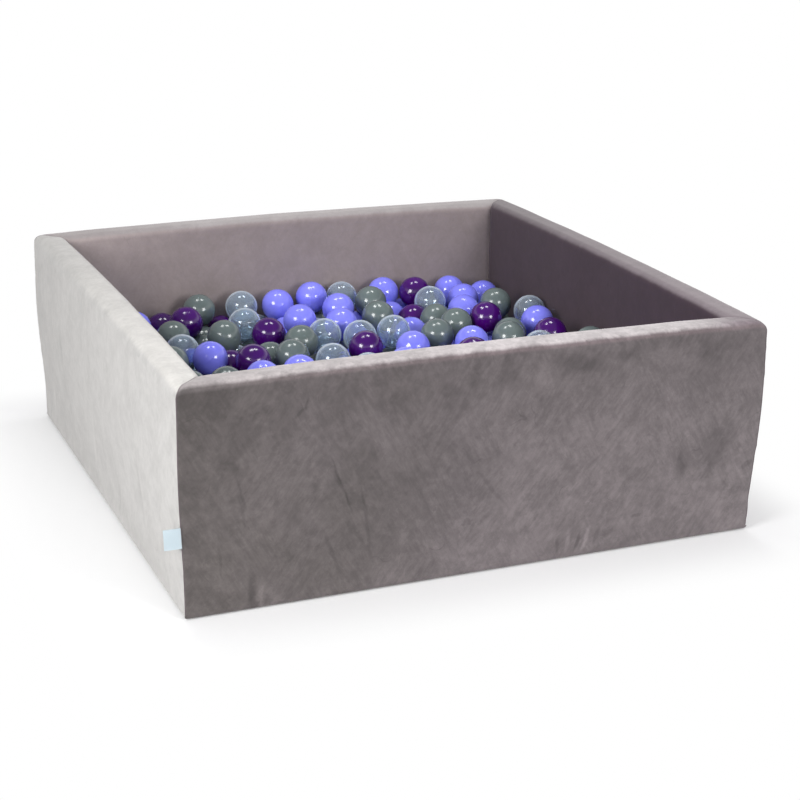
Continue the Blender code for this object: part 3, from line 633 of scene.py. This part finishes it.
# Wall covers: velvet stretched over a foam board, mitred at the corners
cover = {
    "underSteps": 3,
    "footSteps": 8,
    "sideSteps": 38,
    "outerRimSteps": 10,
    "topSteps": 5,
    "innerRimSteps": 9,
    "innerSteps": 34,
    "leastStep": 0.25,        # share of a step that a row keeps from the zip's edges
    "pitch": {"front": 0.0045, "left": 0.008, "back": 0.009, "right": 0.009},
    "nearSeam": (0.0, 0.0006, 0.0014, 0.0024, 0.0036, 0.0052, 0.0074, 0.0104, 0.0145, 0.020, 0.027, 0.035),
    "seamGap": 0.00006,
    "seamDepth": 0.0016,
    "seamWidth": 0.0042,
    "puckerDepth": 0.0009,
    "puckerWidth": 0.016,
    "puckerPitch": 0.019,
    "waves": ((5.5, 0.0013), (14.0, 0.0003)),   # per metre, and how deep
    "mostInwards": 0.0018,
    "creaseWaver": 0.35,      # how far a crease strays from straight, in its own widths
    "creaseWaves": 95,
    "sharpFrom": 65,          # edges that turn more than this stay sharp
}
zipSlot = {"half": 0.4836, "low": 0.0182, "high": 0.0298, "hem": 0.0009, "hemWidth": 0.004,
           "margin": 1e-6}
sides = {
    "front": {"turn": 0, "seams": ("frontLeft", "frontRight")},
    "right": {"turn": 90, "seams": ("frontRight", "backRight")},
    "back": {"turn": 180, "seams": ("backRight", "backLeft")},
    "left": {"turn": 270, "seams": ("backLeft", "frontLeft")},
}
cornerSeed = {"frontLeft": 3.1, "frontRight": 17.7, "backRight": 31.3, "backLeft": 47.9}


def riseShare(height):
    top = pit["height"] - pit["rimOuter"]
    return min(1.0, max(0.0, (height - pit["footBand"]) / (top - pit["footBand"])))


def sideInset(height):
    rise = riseShare(height)
    ease = rise * rise * (3 - 2 * rise)
    return pit["footDrawIn"] * (1 - ease) - pit["sideSwell"] * math.sin(math.pi * rise) ** 2


def arcRows(centre, radius, first, last, steps):
    rows = []
    for step in range(steps + 1):
        angle = math.radians(first + (last - first) * step / steps)
        rows.append((centre[0] + radius * math.cos(angle), centre[1] + radius * math.sin(angle),
                     math.cos(angle), math.sin(angle)))
    return rows


def withSet(places, setPlaces, step):
    least = cover["leastStep"] * step
    return [p for p in places if all(abs(p - s) > least for s in setPlaces)] + list(setPlaces)


# Each row is (inset, height, normal across, normal up), from under the foot over the
# rim to the inner foot. A negative normal across points outwards.
def wallProfile(setHeights=()):
    under = pit["footDrawIn"] + pit["underTurn"]
    footInset = pit["footDrawIn"] + pit["footRadius"]
    rimLow = pit["height"] - pit["rimOuter"]
    steps = cover["underSteps"]
    rows = [(under + (footInset - under) * k / steps, 0.0, 0.0, -1.0) for k in range(steps)]
    rows += arcRows((footInset, pit["footRadius"]), pit["footRadius"], 270, 180, cover["footSteps"])
    step = (rimLow - pit["footRadius"]) / cover["sideSteps"]
    heights = [pit["footRadius"] + step * k for k in range(1, cover["sideSteps"])]
    heights = withSet(heights, setHeights, step)
    rows += [(sideInset(h), h, -1.0, 0.0) for h in sorted(heights)]
    rows += arcRows((pit["rimOuter"], rimLow), pit["rimOuter"], 180, 90, cover["outerRimSteps"])
    innerCentre = (pit["wall"] - pit["rimInner"], pit["height"] - pit["rimInner"])
    for k in range(1, cover["topSteps"]):
        share = k / cover["topSteps"]
        rows.append((pit["rimOuter"] + (innerCentre[0] - pit["rimOuter"]) * share, pit["height"], 0.0, 1.0))
    rows += arcRows(innerCentre, pit["rimInner"], 90, 0, cover["innerRimSteps"])
    for k in range(1, cover["innerSteps"] + 1):
        height = innerCentre[1] + (pit["innerFoot"] - innerCentre[1]) * k / cover["innerSteps"]
        rows.append((pit["wall"], height, 1.0, 0.0))
    return rows


def stationsOf(side, setPlaces=()):
    half = pit["width"] / 2
    pitch = cover["pitch"][side]
    ends = [half - d for d in cover["nearSeam"]]
    inner = ends[-1]
    steps = math.ceil(2 * inner / pitch)
    places = [-inner + 2 * inner * k / steps for k in range(1, steps)]
    places = withSet(places, setPlaces, pitch) + ends + [-e for e in ends]
    return [p / half for p in sorted(places)]


def creaseRise(side, x, height):
    total = 0.0
    for middle, level, length, width, lean, rise in creases[side]:
        angle = math.radians(lean)
        dx = x - middle
        dz = height - level
        if abs(dx) > length or abs(dz) > length:
            continue
        along = dz * math.cos(angle) - dx * math.sin(angle)
        across = dx * math.cos(angle) + dz * math.sin(angle)
        across += cover["creaseWaver"] * width * math.sin(along * cover["creaseWaves"])
        fade = max(0.0, 1 - (2 * along / length) ** 2)
        total += rise * fade * math.exp(-(across / width) ** 2)
    return total


def seamDip(seam, travel, distance):
    seed = cornerSeed[seam]
    dip = -cover["seamDepth"] * math.exp(-(distance / cover["seamWidth"]) ** 2)
    pucker = noise.noise(Vector((travel / cover["puckerPitch"], seed, 0)))
    return dip + cover["puckerDepth"] * pucker * math.exp(-distance / cover["puckerWidth"])


def restOff(seam, travel, distance, flat):
    return seamDip(seam, travel, distance) + sum(d * noise.noise(flat * pitch) for pitch, d in cover["waves"])


def placeOnWall(inset, height, along, angle, swell):
    place = along * (pit["width"] / 2 - inset - cover["seamGap"])
    arch = 1 - along * along
    lift = pit["rimCrown"] * arch * (height / pit["height"]) ** 2
    point = Vector((place, inset - swell - pit["depth"] / 2, height + lift))
    return Matrix.Rotation(math.radians(angle), 3, "Z") @ point


def coverSwell(inset, height, along):
    if inset >= pit["wall"] / 2:
        return 0.0
    return pit["faceSwell"] * (1 - along * along) * math.sin(math.pi * riseShare(height))


def coverPoints(side, rows, travels, along):
    angle = sides[side]["turn"]
    seam = sides[side]["seams"][0 if along < 0 else 1]
    outside = []
    inside = []
    for (inset, height, normalIn, normalUp), travel in zip(rows, travels):
        swell = coverSwell(inset, height, along)
        flat = placeOnWall(inset, height, along, angle, swell)
        distance = (1 - abs(along)) * (pit["width"] / 2 - inset)
        off = restOff(seam, travel, distance, flat)
        if normalIn < 0:
            off += creaseRise(side, flat.x if side in ("front", "back") else flat.y, height)
        if side == "back" and normalIn < 0:
            nearSlot = max(height - zipSlot["high"], zipSlot["low"] - height, 0)
            off += zipSlot["hem"] * math.exp(-(nearSlot / zipSlot["hemWidth"]) ** 2)
        grounded = 1.0 if normalUp >= 0 else 0.0
        off = max(off, -cover["mostInwards"]) * grounded
        outside.append(placeOnWall(inset + off * normalIn, height + off * normalUp, along, angle, swell))
        innerInset = inset - pit["fabric"] * normalIn
        inside.append(placeOnWall(innerInset, height - pit["fabric"] * normalUp, along, angle, swell))
    return outside, inside


def buildCover(side):
    isBack = side == "back"
    rows = wallProfile((zipSlot["low"], zipSlot["high"]) if isBack else ())
    travels = lengthsAlong([row[:2] for row in rows])
    stations = stationsOf(side, (-zipSlot["half"], zipSlot["half"]) if isBack else ())
    slotAlong = zipSlot["half"] / (pit["width"] / 2) + zipSlot["margin"]

    def isOpen(station, row):
        if not isBack or abs(stations[station]) > slotAlong or abs(stations[station + 1]) > slotAlong:
            return False
        middle = (rows[row][1] + rows[row + 1][1]) / 2
        return rows[row][2] < 0 and zipSlot["low"] < middle < zipSlot["high"]

    lines = [coverPoints(side, rows, travels, along) for along in stations]
    bm = clothMesh(zip(*lines), isOpen)
    piece = addPiece("wallCover_" + side, bm, panelLooksWithPaintedLight[side], "pit")
    piece.data.set_sharp_from_angle(angle=math.radians(cover["sharpFrom"]))
    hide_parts("cover_" + side)


for side in sides:
    buildCover(side)
print("wall covers are built")


# Floor and underside: one stretched sheet each, rippled on the side that can be seen
flatSheets = {
    "floorSheet": {"stands": "cover_floor", "seen": "above", "look": panelLooksWithPaintedLight["back"], "slot": "velvet",
                   "restsOn": ["foam_floor_board"]},
    "undersideSheet": {"stands": "cover_base", "seen": "below", "look": wovenLooks["lining"],
                       "slot": "lining",
                       "restsOn": ["wallCover_front", "wallCover_back", "wallCover_left", "wallCover_right"]},
}
sheetRipple = {"steps": 64, "scale": 11.0, "depth": 0.0005,
               "rimScale": 60.0, "rimDepth": 0.0005, "rimWidth": 0.03, "sharpFrom": 60}


def sheetLevel(x, y, low, high, above, seenAbove):
    fromRim = min(x - low.x, high.x - x, y - low.y, high.y - y)
    ripple = sheetRipple["depth"] * (0.5 + 0.5 * noise.noise(Vector((x, y, 0)) * sheetRipple["scale"]))
    pull = 0.5 + 0.5 * noise.noise(Vector((x, y, 3)) * sheetRipple["rimScale"])
    ripple += sheetRipple["rimDepth"] * pull * math.exp(-fromRim / sheetRipple["rimWidth"])
    if above:
        return high.z - (ripple if seenAbove else 0)
    return low.z + (0 if seenAbove else ripple)


def buildFlatSheet(name, sheet):
    low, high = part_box(sheet["stands"])
    seenAbove = sheet["seen"] == "above"
    xs, ys = ([low[axis] + (high[axis] - low[axis]) * share for share in shares(sheetRipple["steps"])]
              for axis in range(2))
    layers = [[[(x, y, sheetLevel(x, y, low, high, above, seenAbove)) for y in ys] for x in xs]
              for above in (True, False)]
    piece = addPiece(name, clothMesh(layers), sheet["look"], "pit")
    piece.data.set_sharp_from_angle(angle=math.radians(sheetRipple["sharpFrom"]))
    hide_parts(sheet["stands"])


for name, sheet in flatSheets.items():
    buildFlatSheet(name, sheet)
print("floor and underside are stretched")


# Seam thread in each corner, from the foot over the rim down to the inner foot
seamThread = {"radius": 0.00065, "beadRise": 0.00022, "stitch": 0.0034, "sunk": 0.0011,
              "steps": 3, "sides": 7, "fromRow": 3}


def seamPath(seam, side):
    rows = wallProfile()
    travels = lengthsAlong([row[:2] for row in rows])
    angle = sides[side]["turn"]
    points = []
    for (inset, height, normalIn, normalUp), travel in list(zip(rows, travels))[seamThread["fromRow"]:]:
        off = restOff(seam, travel, 0.0, placeOnWall(inset, height, -1, angle, 0))
        off = max(off, -cover["mostInwards"]) - seamThread["sunk"] + cover["seamDepth"] / 2
        points.append(placeOnWall(inset + off * normalIn, height + off * normalUp, -1, angle, 0))
    return points


def evenPoints(points, pitch):
    lengths = lengthsAlong(points)
    count = max(2, round(lengths[-1] / pitch))
    made = []
    index = 0
    for k in range(count + 1):
        goal = lengths[-1] * k / count
        while index < len(lengths) - 2 and lengths[index + 1] < goal:
            index += 1
        span = lengths[index + 1] - lengths[index]
        made.append(points[index].lerp(points[index + 1], (goal - lengths[index]) / span))
    return made


def tubeMesh(points, radii, count):
    bm = bmesh.new()
    rings = []
    up = Vector((0.31, 0.83, 0.46)).normalized()      # no seam runs this way
    for k, point in enumerate(points):
        ahead = (points[min(k + 1, len(points) - 1)] - points[max(k - 1, 0)]).normalized()
        across = ahead.cross(up).normalized()
        up = across.cross(ahead).normalized()
        ring = []
        for step in range(count):
            angle = 2 * math.pi * step / count
            ring.append(bm.verts.new(point + radii[k] * (across * math.cos(angle) + up * math.sin(angle))))
        rings.append(ring)
    for ring, after in zip(rings, rings[1:]):
        for step in range(count):
            follow = (step + 1) % count
            bm.faces.new((ring[step], ring[follow], after[follow], after[step]))
    bm.faces.new(reversed(rings[0]))
    bm.faces.new(rings[-1])
    return bm


def buildSeams():
    steps = seamThread["steps"]
    for side, wall in sides.items():
        seam = wall["seams"][0]
        points = evenPoints(seamPath(seam, side), seamThread["stitch"] / steps)
        swings = [math.sin(math.pi * (k % steps) / steps) for k in range(len(points))]
        radii = [seamThread["radius"] + seamThread["beadRise"] * swing for swing in swings]
        bm = tubeMesh(points, radii, seamThread["sides"])
        addPiece("cornerSeam_" + seam, bm, panelLooksWithPaintedLight["right"], "pit")


buildSeams()
print("corner seams are sewn")


# Zip: the two coils as closed rows of turns, and the stitching along both tapes
zipLook = {"pitch": 0.0014, "toothWidth": 0.0008, "toothReach": 0.0007, "toothBevel": 0.00022,
           "stitchPitch": 0.0032, "stitchLength": 0.0022, "stitchRadius": 0.00028, "stitchBevel": 0.6,
           "stitchOff": 0.0008,      # from the coil's edge to the row of stitches
           "upperStart": 0.25, "lowerStart": 0.75}


def roundBar(bm, low, high, bevel):
    made = bmesh.ops.create_cube(bm, size=1.0)
    size = Vector(high) - Vector(low)
    middle = (Vector(high) + Vector(low)) / 2
    place = Matrix.Translation(middle) @ Matrix.Diagonal((*size, 1))
    bmesh.ops.transform(bm, matrix=place, verts=made["verts"])
    edges = {e for v in made["verts"] for e in v.link_edges}
    bmesh.ops.bevel(bm, geom=list(edges), offset=bevel, segments=1, affect="EDGES")


def buildCoils():
    half = zipLook["toothWidth"] / 2
    reach = zipLook["toothReach"]
    for name in ("upper", "lower"):
        low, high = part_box("zip_coil_" + name)
        near, far = (low.z - reach, high.z) if name == "upper" else (low.z, high.z + reach)
        bm = bmesh.new()
        count = int((high.x - low.x) / zipLook["pitch"])
        for k in range(count):
            x = low.x + (high.x - low.x) * (k + zipLook[name + "Start"]) / count
            roundBar(bm, (x - half, low.y, near), (x + half, high.y, far), zipLook["toothBevel"])
        piece = addPiece("zipCoil_" + name, bm, wovenLooks["zipCoil"], "pit", smooth=False)
        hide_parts("zip_coil_" + name)


def buildStitches():
    half = zipLook["stitchLength"] / 2
    radius = zipLook["stitchRadius"]
    bm = bmesh.new()
    for name in ("upper", "lower"):
        low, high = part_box("zip_coil_" + name)
        level = high.z + zipLook["stitchOff"] if name == "upper" else low.z - zipLook["stitchOff"]
        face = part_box("zip_tape_" + name)[1].y
        count = int((high.x - low.x) / zipLook["stitchPitch"])
        for k in range(count):
            x = low.x + (high.x - low.x) * (k + 0.5) / count
            corners = (x - half, face - radius, level - radius), (x + half, face + radius, level + radius)
            roundBar(bm, *corners, radius * zipLook["stitchBevel"])
    addPiece("zipStitches", bm, wovenLooks["zipTape"], "pit", smooth=False)


buildCoils()
buildStitches()
print("zip is dressed")


# Ribbon flag: a plain satin ribbon folded double, caught in the corner seam
flag = {
    "width": 0.027,
    "height": 0.037,
    "thickness": 0.00034,
    "middle": 0.150,          # height of its middle above the ground
    "apart": 0.00042,         # from the fold's middle to either layer
    "tuck": 0.0012,           # how far it runs into the seam
    "curl": 0.004,
    "wave": 0.0007,
    "waves": 5.2,
    "waveStart": 1.0,
    "sag": 0.0016,
    "columns": 14,
    "rows": 12,
    "turns": 6,
    "sharpFrom": 60,
}


def flagPoint(travel, share, off):
    # travel runs out along the front layer, round the fold and back along the rear one
    width = flag["width"] + flag["tuck"]
    bend = flag["apart"]
    if travel <= width - bend:
        x = travel
        y = -bend
        normal = Vector((0, -1, 0))
    elif travel >= width - bend + math.pi * bend:
        x = 2 * (width - bend) + math.pi * bend - travel
        y = bend
        normal = Vector((0, 1, 0))
    else:
        angle = (travel - (width - bend)) / bend
        x = width - bend + bend * math.sin(angle)
        y = -bend * math.cos(angle)
        normal = Vector((-math.sin(angle), -math.cos(angle), 0))
    height = flag["middle"] + flag["height"] * (share - 0.5)
    inset = sideInset(height)
    out = x / width
    curl = flag["curl"] * out * out + flag["wave"] * math.sin(flag["waves"] * share + flag["waveStart"]) * out
    place = Vector((inset - pit["width"] / 2 + flag["tuck"] - x,
                    inset - pit["depth"] / 2 + y + curl,
                    height - flag["sag"] * out * out))
    return place + normal * off


def buildFlag():
    width = flag["width"] + flag["tuck"] - flag["apart"]
    turn = math.pi * flag["apart"]
    travels = [width * k / flag["columns"] for k in range(flag["columns"])]
    travels += [width + turn * k / flag["turns"] for k in range(flag["turns"])]
    travels += [width + turn + width * k / flag["columns"] for k in range(flag["columns"] + 1)]
    layers = [[[flagPoint(travel, share, off) for share in shares(flag["rows"])] for travel in travels]
              for off in (flag["thickness"] / 2, -flag["thickness"] / 2)]
    piece = addPiece("ribbonFlag", clothMesh(layers), ribbonLook, "pit")
    piece.data.set_sharp_from_angle(angle=math.radians(flag["sharpFrom"]))
    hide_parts("flag_label")


buildFlag()
print("flag is sewn in")


# Balls: blown plastic with a mould seam round the middle and a sealed nub at one pole
ball = {
    "diameter": 0.070,
    "wall": 0.0011,
    "seamRise": 0.00016,
    "seamHalf": 1.1,          # degrees of latitude
    "seamShoulder": 0.6,      # share of the seam's rise beside its middle
    "nubAngle": 5.0,
    "nubBevel": 1.5,
    "nubDip": 0.0004,
    # Segments round and rings up, finer where a ball is seen from near or through
    "fineness": {"looseClear": (72, 36), "loose": (48, 24),
                 "top": (40, 20), "low": (28, 14), "deep": (16, 8)},
    "spinSeed": 23,
}
heap = {
    "height": 0.228,
    "looseRise": 0.25,
    "layerShare": 0.76,
    "deepLayerShare": 1.52,
    "pitchShare": 1.05,
    "rowShare": 0.90,
    "jitterShare": 0.10,
    "heightShare": 0.22,
    "looseRoom": 1.01,
    "fillRoom": 0.98,
    "firstRoom": 0.75,
    "leastRoom": 0.85,
    "pushRounds": 40,
    "seed": 11,
    "settleRounds": 60,
    "listedLeft": -0.78,      # right of this and behind the next one, every top ball is listed
    "listedFront": -0.02,
    "colourSeed": 5,
    "colourShares": (("blue", 0.34), ("grey", 0.27), ("purple", 0.19), ("clear", 0.20)),
}
# Top balls held in the bed, at places seen in the photograph: colour, then the place
# across and back as shares of the way from the middle to where a ball meets the wall,
# then how far above the heap's height, in radii
heldBalls = (
    ("purple", -0.67, 0.98, -0.8), ("grey", -0.72, 0.60, 0.1), ("grey", -0.55, 0.75, -1.1),
    ("blue", -0.64, 0.57, -1.5), ("purple", -0.39, 1.00, -1.4), ("grey", -0.47, 0.93, -1.4),
    ("grey", -0.34, 0.65, -1.4), ("clear", -0.45, 0.55, -1.4), ("purple", -0.55, 0.29, -0.7),
    ("grey", -0.37, 0.27, -0.4), ("blue", -0.11, 0.80, -1.1), ("clear", 0.24, 0.99, 0.1),
    ("blue", 0.14, 0.77, 0.2), ("blue", 0.27, 0.85, -1.0), ("grey", 0.00, 0.59, -1.4),
    ("clear", -0.16, 0.04, 0.1), ("blue", 0.07, 0.38, -1.75), ("grey", 0.28, 0.61, 0.1),
    ("blue", 0.41, 0.87, -0.8), ("blue", 0.56, 1.00, -1.2), ("blue", 0.37, 0.42, -0.4),
    ("grey", 0.24, 0.33, -1.5), ("grey", 0.55, 0.54, -0.2), ("grey", 0.59, 0.37, 0.1),
    ("purple", 0.51, 0.69, -0.5), ("blue", 0.81, 0.97, -0.1), ("blue", 0.98, 0.93, -0.5),
    ("blue", 0.73, 0.62, -0.1), ("clear", 1.00, 0.45, 0.1), ("purple", 1.00, 0.15, -1.0),
    ("grey", 0.69, 0.04, 0.3), ("grey", 0.78, 0.21, -0.2), ("grey", 1.00, -0.16, 0.3),
    ("grey", 0.45, 1.00, -1.4), ("grey", -0.07, 0.40, -1.8), ("grey", -0.31, 0.48, -1.65),
    ("blue", -0.10, 0.63, -1.65), ("blue", 0.03, 0.14, -1.65), ("blue", -0.32, 0.13, -1.6),
    ("purple", -0.21, 0.31, -1.75), ("purple", 0.90, 0.03, -1.7),
)
radius = ball["diameter"] / 2
reachX = insideWidth / 2 - radius - pit["gap"]
reachY = insideDepth / 2 - radius - pit["gap"]


def looseBalls():
    found = []
    for name in sorted(nodes):
        if name.startswith("ball_") and name != "ball_bed":
            corners = nodes[name].data.vertices
            centre = sum((v.co for v in corners), Vector()) / len(corners)
            found.append({"name": name, "colour": name.rsplit("_", 1)[1], "centre": centre})
    return found


def planDistance(a, b):
    return math.hypot(a[0] - b[0], a[1] - b[1])


def rowPlaces(pitch, firstShift):
    rows = max(2, int(2 * reachY / (pitch * heap["rowShare"])) + 1)
    places = []
    for row in range(rows):
        y = -reachY + 2 * reachY * row / (rows - 1)
        shift = pitch / 2 if (row + firstShift) % 2 else 0.0
        for column in range(int((2 * reachX - shift) / pitch) + 1):
            places.append((shift + column * pitch - reachX, y))
    return places


def keepInside(one):
    one[0] = min(reachX, max(-reachX, one[0]))
    one[1] = min(reachY, max(-reachY, one[1]))


def pushApart(fill, fixed):
    wide = ball["diameter"] * heap["looseRoom"]
    close = ball["diameter"] * heap["fillRoom"]
    for roundNumber in range(heap["pushRounds"]):
        for i, one in enumerate(fill):
            move = [0.0, 0.0]
            pairs = [(other, wide) for other in fixed]
            pairs += [(other, close) for other in fill[:i] + fill[i + 1:]]
            for other, span in pairs:
                distance = planDistance(one, other)
                if 0 < distance < span:
                    for axis in range(2):
                        move[axis] += (one[axis] - other[axis]) / distance * (span - distance) / 2
            one[0] += move[0]
            one[1] += move[1]
            keepInside(one)


def fillBalls(loose, held, jitter):
    pitch = ball["diameter"] * heap["pitchShare"]
    fill = []
    for x, y in rowPlaces(pitch, 0):
        one = [x + jitter.uniform(-1, 1) * heap["jitterShare"] * radius,
               y + jitter.uniform(-1, 1) * heap["jitterShare"] * radius,
               heap["height"] + jitter.uniform(-1, 1) * heap["heightShare"] * radius]
        if x > heap["listedLeft"] * reachX and y > heap["listedFront"] * reachY:
            continue
        if all(planDistance(one, other) > ball["diameter"] * heap["firstRoom"] for other in loose + held):
            fill.append(one)
    pushApart(fill, loose + held)
    kept = []
    for one in fill:
        clearOfLoose = all(planDistance(one, other) > ball["diameter"] + pit["gap"] for other in loose)
        least = ball["diameter"] * heap["leastRoom"]
        clearOfRest = all(planDistance(one, other) > least for other in held + kept)
        if clearOfLoose and clearOfRest:
            kept.append(one)
    return kept


def layerBalls(dropShare, firstShift, jitter):
    pitch = ball["diameter"] * heap["pitchShare"]
    level = heap["height"] - dropShare * ball["diameter"]
    return [[x, y, level + jitter.uniform(-1, 0) * heap["heightShare"] * radius]
            for x, y in rowPlaces(pitch, firstShift)]


# Lets balls that press into each other slide apart by a few millimetres
def settle(moving, still):
    for roundNumber in range(heap["settleRounds"]):
        for i, one in enumerate(moving):
            for other in moving[i + 1:]:
                partPair(one, other, 2)
            for other in still:
                partPair(one, other, 1)
            keepInside(one)


def partPair(one, other, movers):
    gaps = [one[axis] - other[axis] for axis in range(3)]
    if max(abs(gap) for gap in gaps) > ball["diameter"]:
        return
    distance = math.sqrt(sum(gap * gap for gap in gaps))
    if 0 < distance < ball["diameter"]:
        share = (ball["diameter"] - distance) / distance / movers
        for axis, gap in enumerate(gaps):
            one[axis] += gap * share
            if movers == 2:
                other[axis] -= gap * share


# Each lower ball goes down until it clears those above it, or lies on the floor
def sink(lower, upper):
    for one in lower:
        for other in upper:
            plan = planDistance(one, other)
            if plan < ball["diameter"]:
                one[2] = min(one[2], other[2] - math.sqrt(ball["diameter"] ** 2 - plan ** 2))
        one[2] = max(one[2], pit["floorTop"] + radius)


def ballShell(bm, size, segments, rings, inwards=False):
    latitudes = [-90 + 180 * k / rings for k in range(1, rings)]
    if not inwards:
        latitudes = [lat for lat in latitudes if abs(lat) > 2 * ball["seamHalf"]]
        latitudes += [k * ball["seamHalf"] for k in range(-2, 3)]
        latitudes += [90 - ball["nubAngle"], 90 - ball["nubAngle"] - ball["nubBevel"]]
        latitudes = sorted(set(latitudes))
    lines = []
    for latitude in latitudes:
        reach = size
        if not inwards and abs(latitude) < 1.5 * ball["seamHalf"]:
            reach += ball["seamRise"] * (1 if latitude == 0 else ball["seamShoulder"])
        if not inwards and latitude >= 90 - ball["nubAngle"]:
            reach -= ball["nubDip"]
        out = reach * math.cos(math.radians(latitude))
        up = reach * math.sin(math.radians(latitude))
        line = []
        for k in range(segments):
            turn = 2 * math.pi * k / segments
            line.append(bm.verts.new((out * math.cos(turn), out * math.sin(turn), up)))
        lines.append(line)
    bottom = bm.verts.new((0, 0, -size))
    top = bm.verts.new((0, 0, size - (0 if inwards else ball["nubDip"])))
    for k in range(segments):
        follow = (k + 1) % segments
        loops = [(bottom, lines[0][follow], lines[0][k]), (top, lines[-1][k], lines[-1][follow])]
        loops += [(a[k], a[follow], b[follow], b[k]) for a, b in zip(lines, lines[1:])]
        for loop in loops:
            bm.faces.new(reversed(loop) if inwards else loop)


def ballTemplate(colour, segments, rings):
    bm = bmesh.new()
    ballShell(bm, radius, segments, rings)
    if colour == "clear":
        ballShell(bm, radius - ball["wall"], segments, rings, inwards=True)
    mesh = bpy.data.meshes.new("ballTemplate")
    bm.to_mesh(mesh)
    bm.free()
    return mesh


def addBall(bm, template, centre, spin):
    known = len(bm.verts)
    bm.from_mesh(template)
    bm.verts.ensure_lookup_table()
    turn = Matrix.Rotation(spin.uniform(0, 2 * math.pi), 4, "Z")
    turn = turn @ Matrix.Rotation(spin.uniform(0, math.pi), 4, "X")
    turn = turn @ Matrix.Rotation(spin.uniform(0, math.pi), 4, "Y")
    bmesh.ops.transform(bm, matrix=Matrix.Translation(centre) @ turn, verts=bm.verts[known:])


def pickColour(dice):
    throw = dice.random()
    for colour, share in heap["colourShares"]:
        throw -= share
        if throw < 0:
            return colour
    return heap["colourShares"][0][0]


def buildLoose(loose, spin):
    for item in loose:
        colour = item["colour"]
        number = item["name"].split("_")[1]
        bm = bmesh.new()
        fineness = ball["fineness"]["looseClear" if colour == "clear" else "loose"]
        addBall(bm, ballTemplate(colour, *fineness), item["centre"], spin)
        piece = addPiece("looseBall_" + number + "_" + colour, bm, plasticLooks[colour],
                         "ball_" + number)
        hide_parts(item["name"])


# Every list and draw is in the order that the bed's solid was made with
def heapGroups(loose):
    jitter = random.Random(heap["seed"])
    start = heap["height"] + heap["looseRise"] * radius
    looseCentres = [[item["centre"].x, item["centre"].y, start] for item in loose]
    held = [[xShare * reachX, yShare * reachY, heap["height"] + rise * radius]
            for colour, xShare, yShare, rise in heldBalls]
    fill = fillBalls(looseCentres, held, jitter)
    top = held + fill
    settle(top, looseCentres)
    low = layerBalls(heap["layerShare"], 1, jitter)
    sink(low, top + looseCentres)
    deep = layerBalls(heap["deepLayerShare"], 0, jitter)
    sink(deep, low)
    dice = random.Random(heap["colourSeed"])
    groups = {colour: [] for colour in plastic}
    for listed, centre in zip(heldBalls, held):
        groups[listed[0]].append((centre, "top"))
    for layer, centres in (("top", fill), ("low", low), ("deep", deep)):
        for centre in centres:
            colour = pickColour(dice)
            # Down where no light comes through, a clear ball shows as a grey one
            colour = "grey" if layer == "deep" and colour == "clear" else colour
            groups[colour].append((centre, layer))
    return groups


def buildHeap(groups, spin):
    for colour, members in groups.items():
        bm = bmesh.new()
        templates = {}
        for centre, layer in members:
            if layer not in templates:
                templates[layer] = ballTemplate(colour, *ball["fineness"][layer])
            addBall(bm, templates[layer], Vector(centre), spin)
        piece = addPiece("heapBalls_" + colour, bm, plasticLooks[colour], "pit")
        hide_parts("ball_bed")
        print("heap balls", colour, len(members), "faces", len(piece.data.polygons))


spin = random.Random(ball["spinSeed"])
loose = looseBalls()
buildLoose(loose, spin)
buildHeap(heapGroups(loose), spin)
print("balls are in")
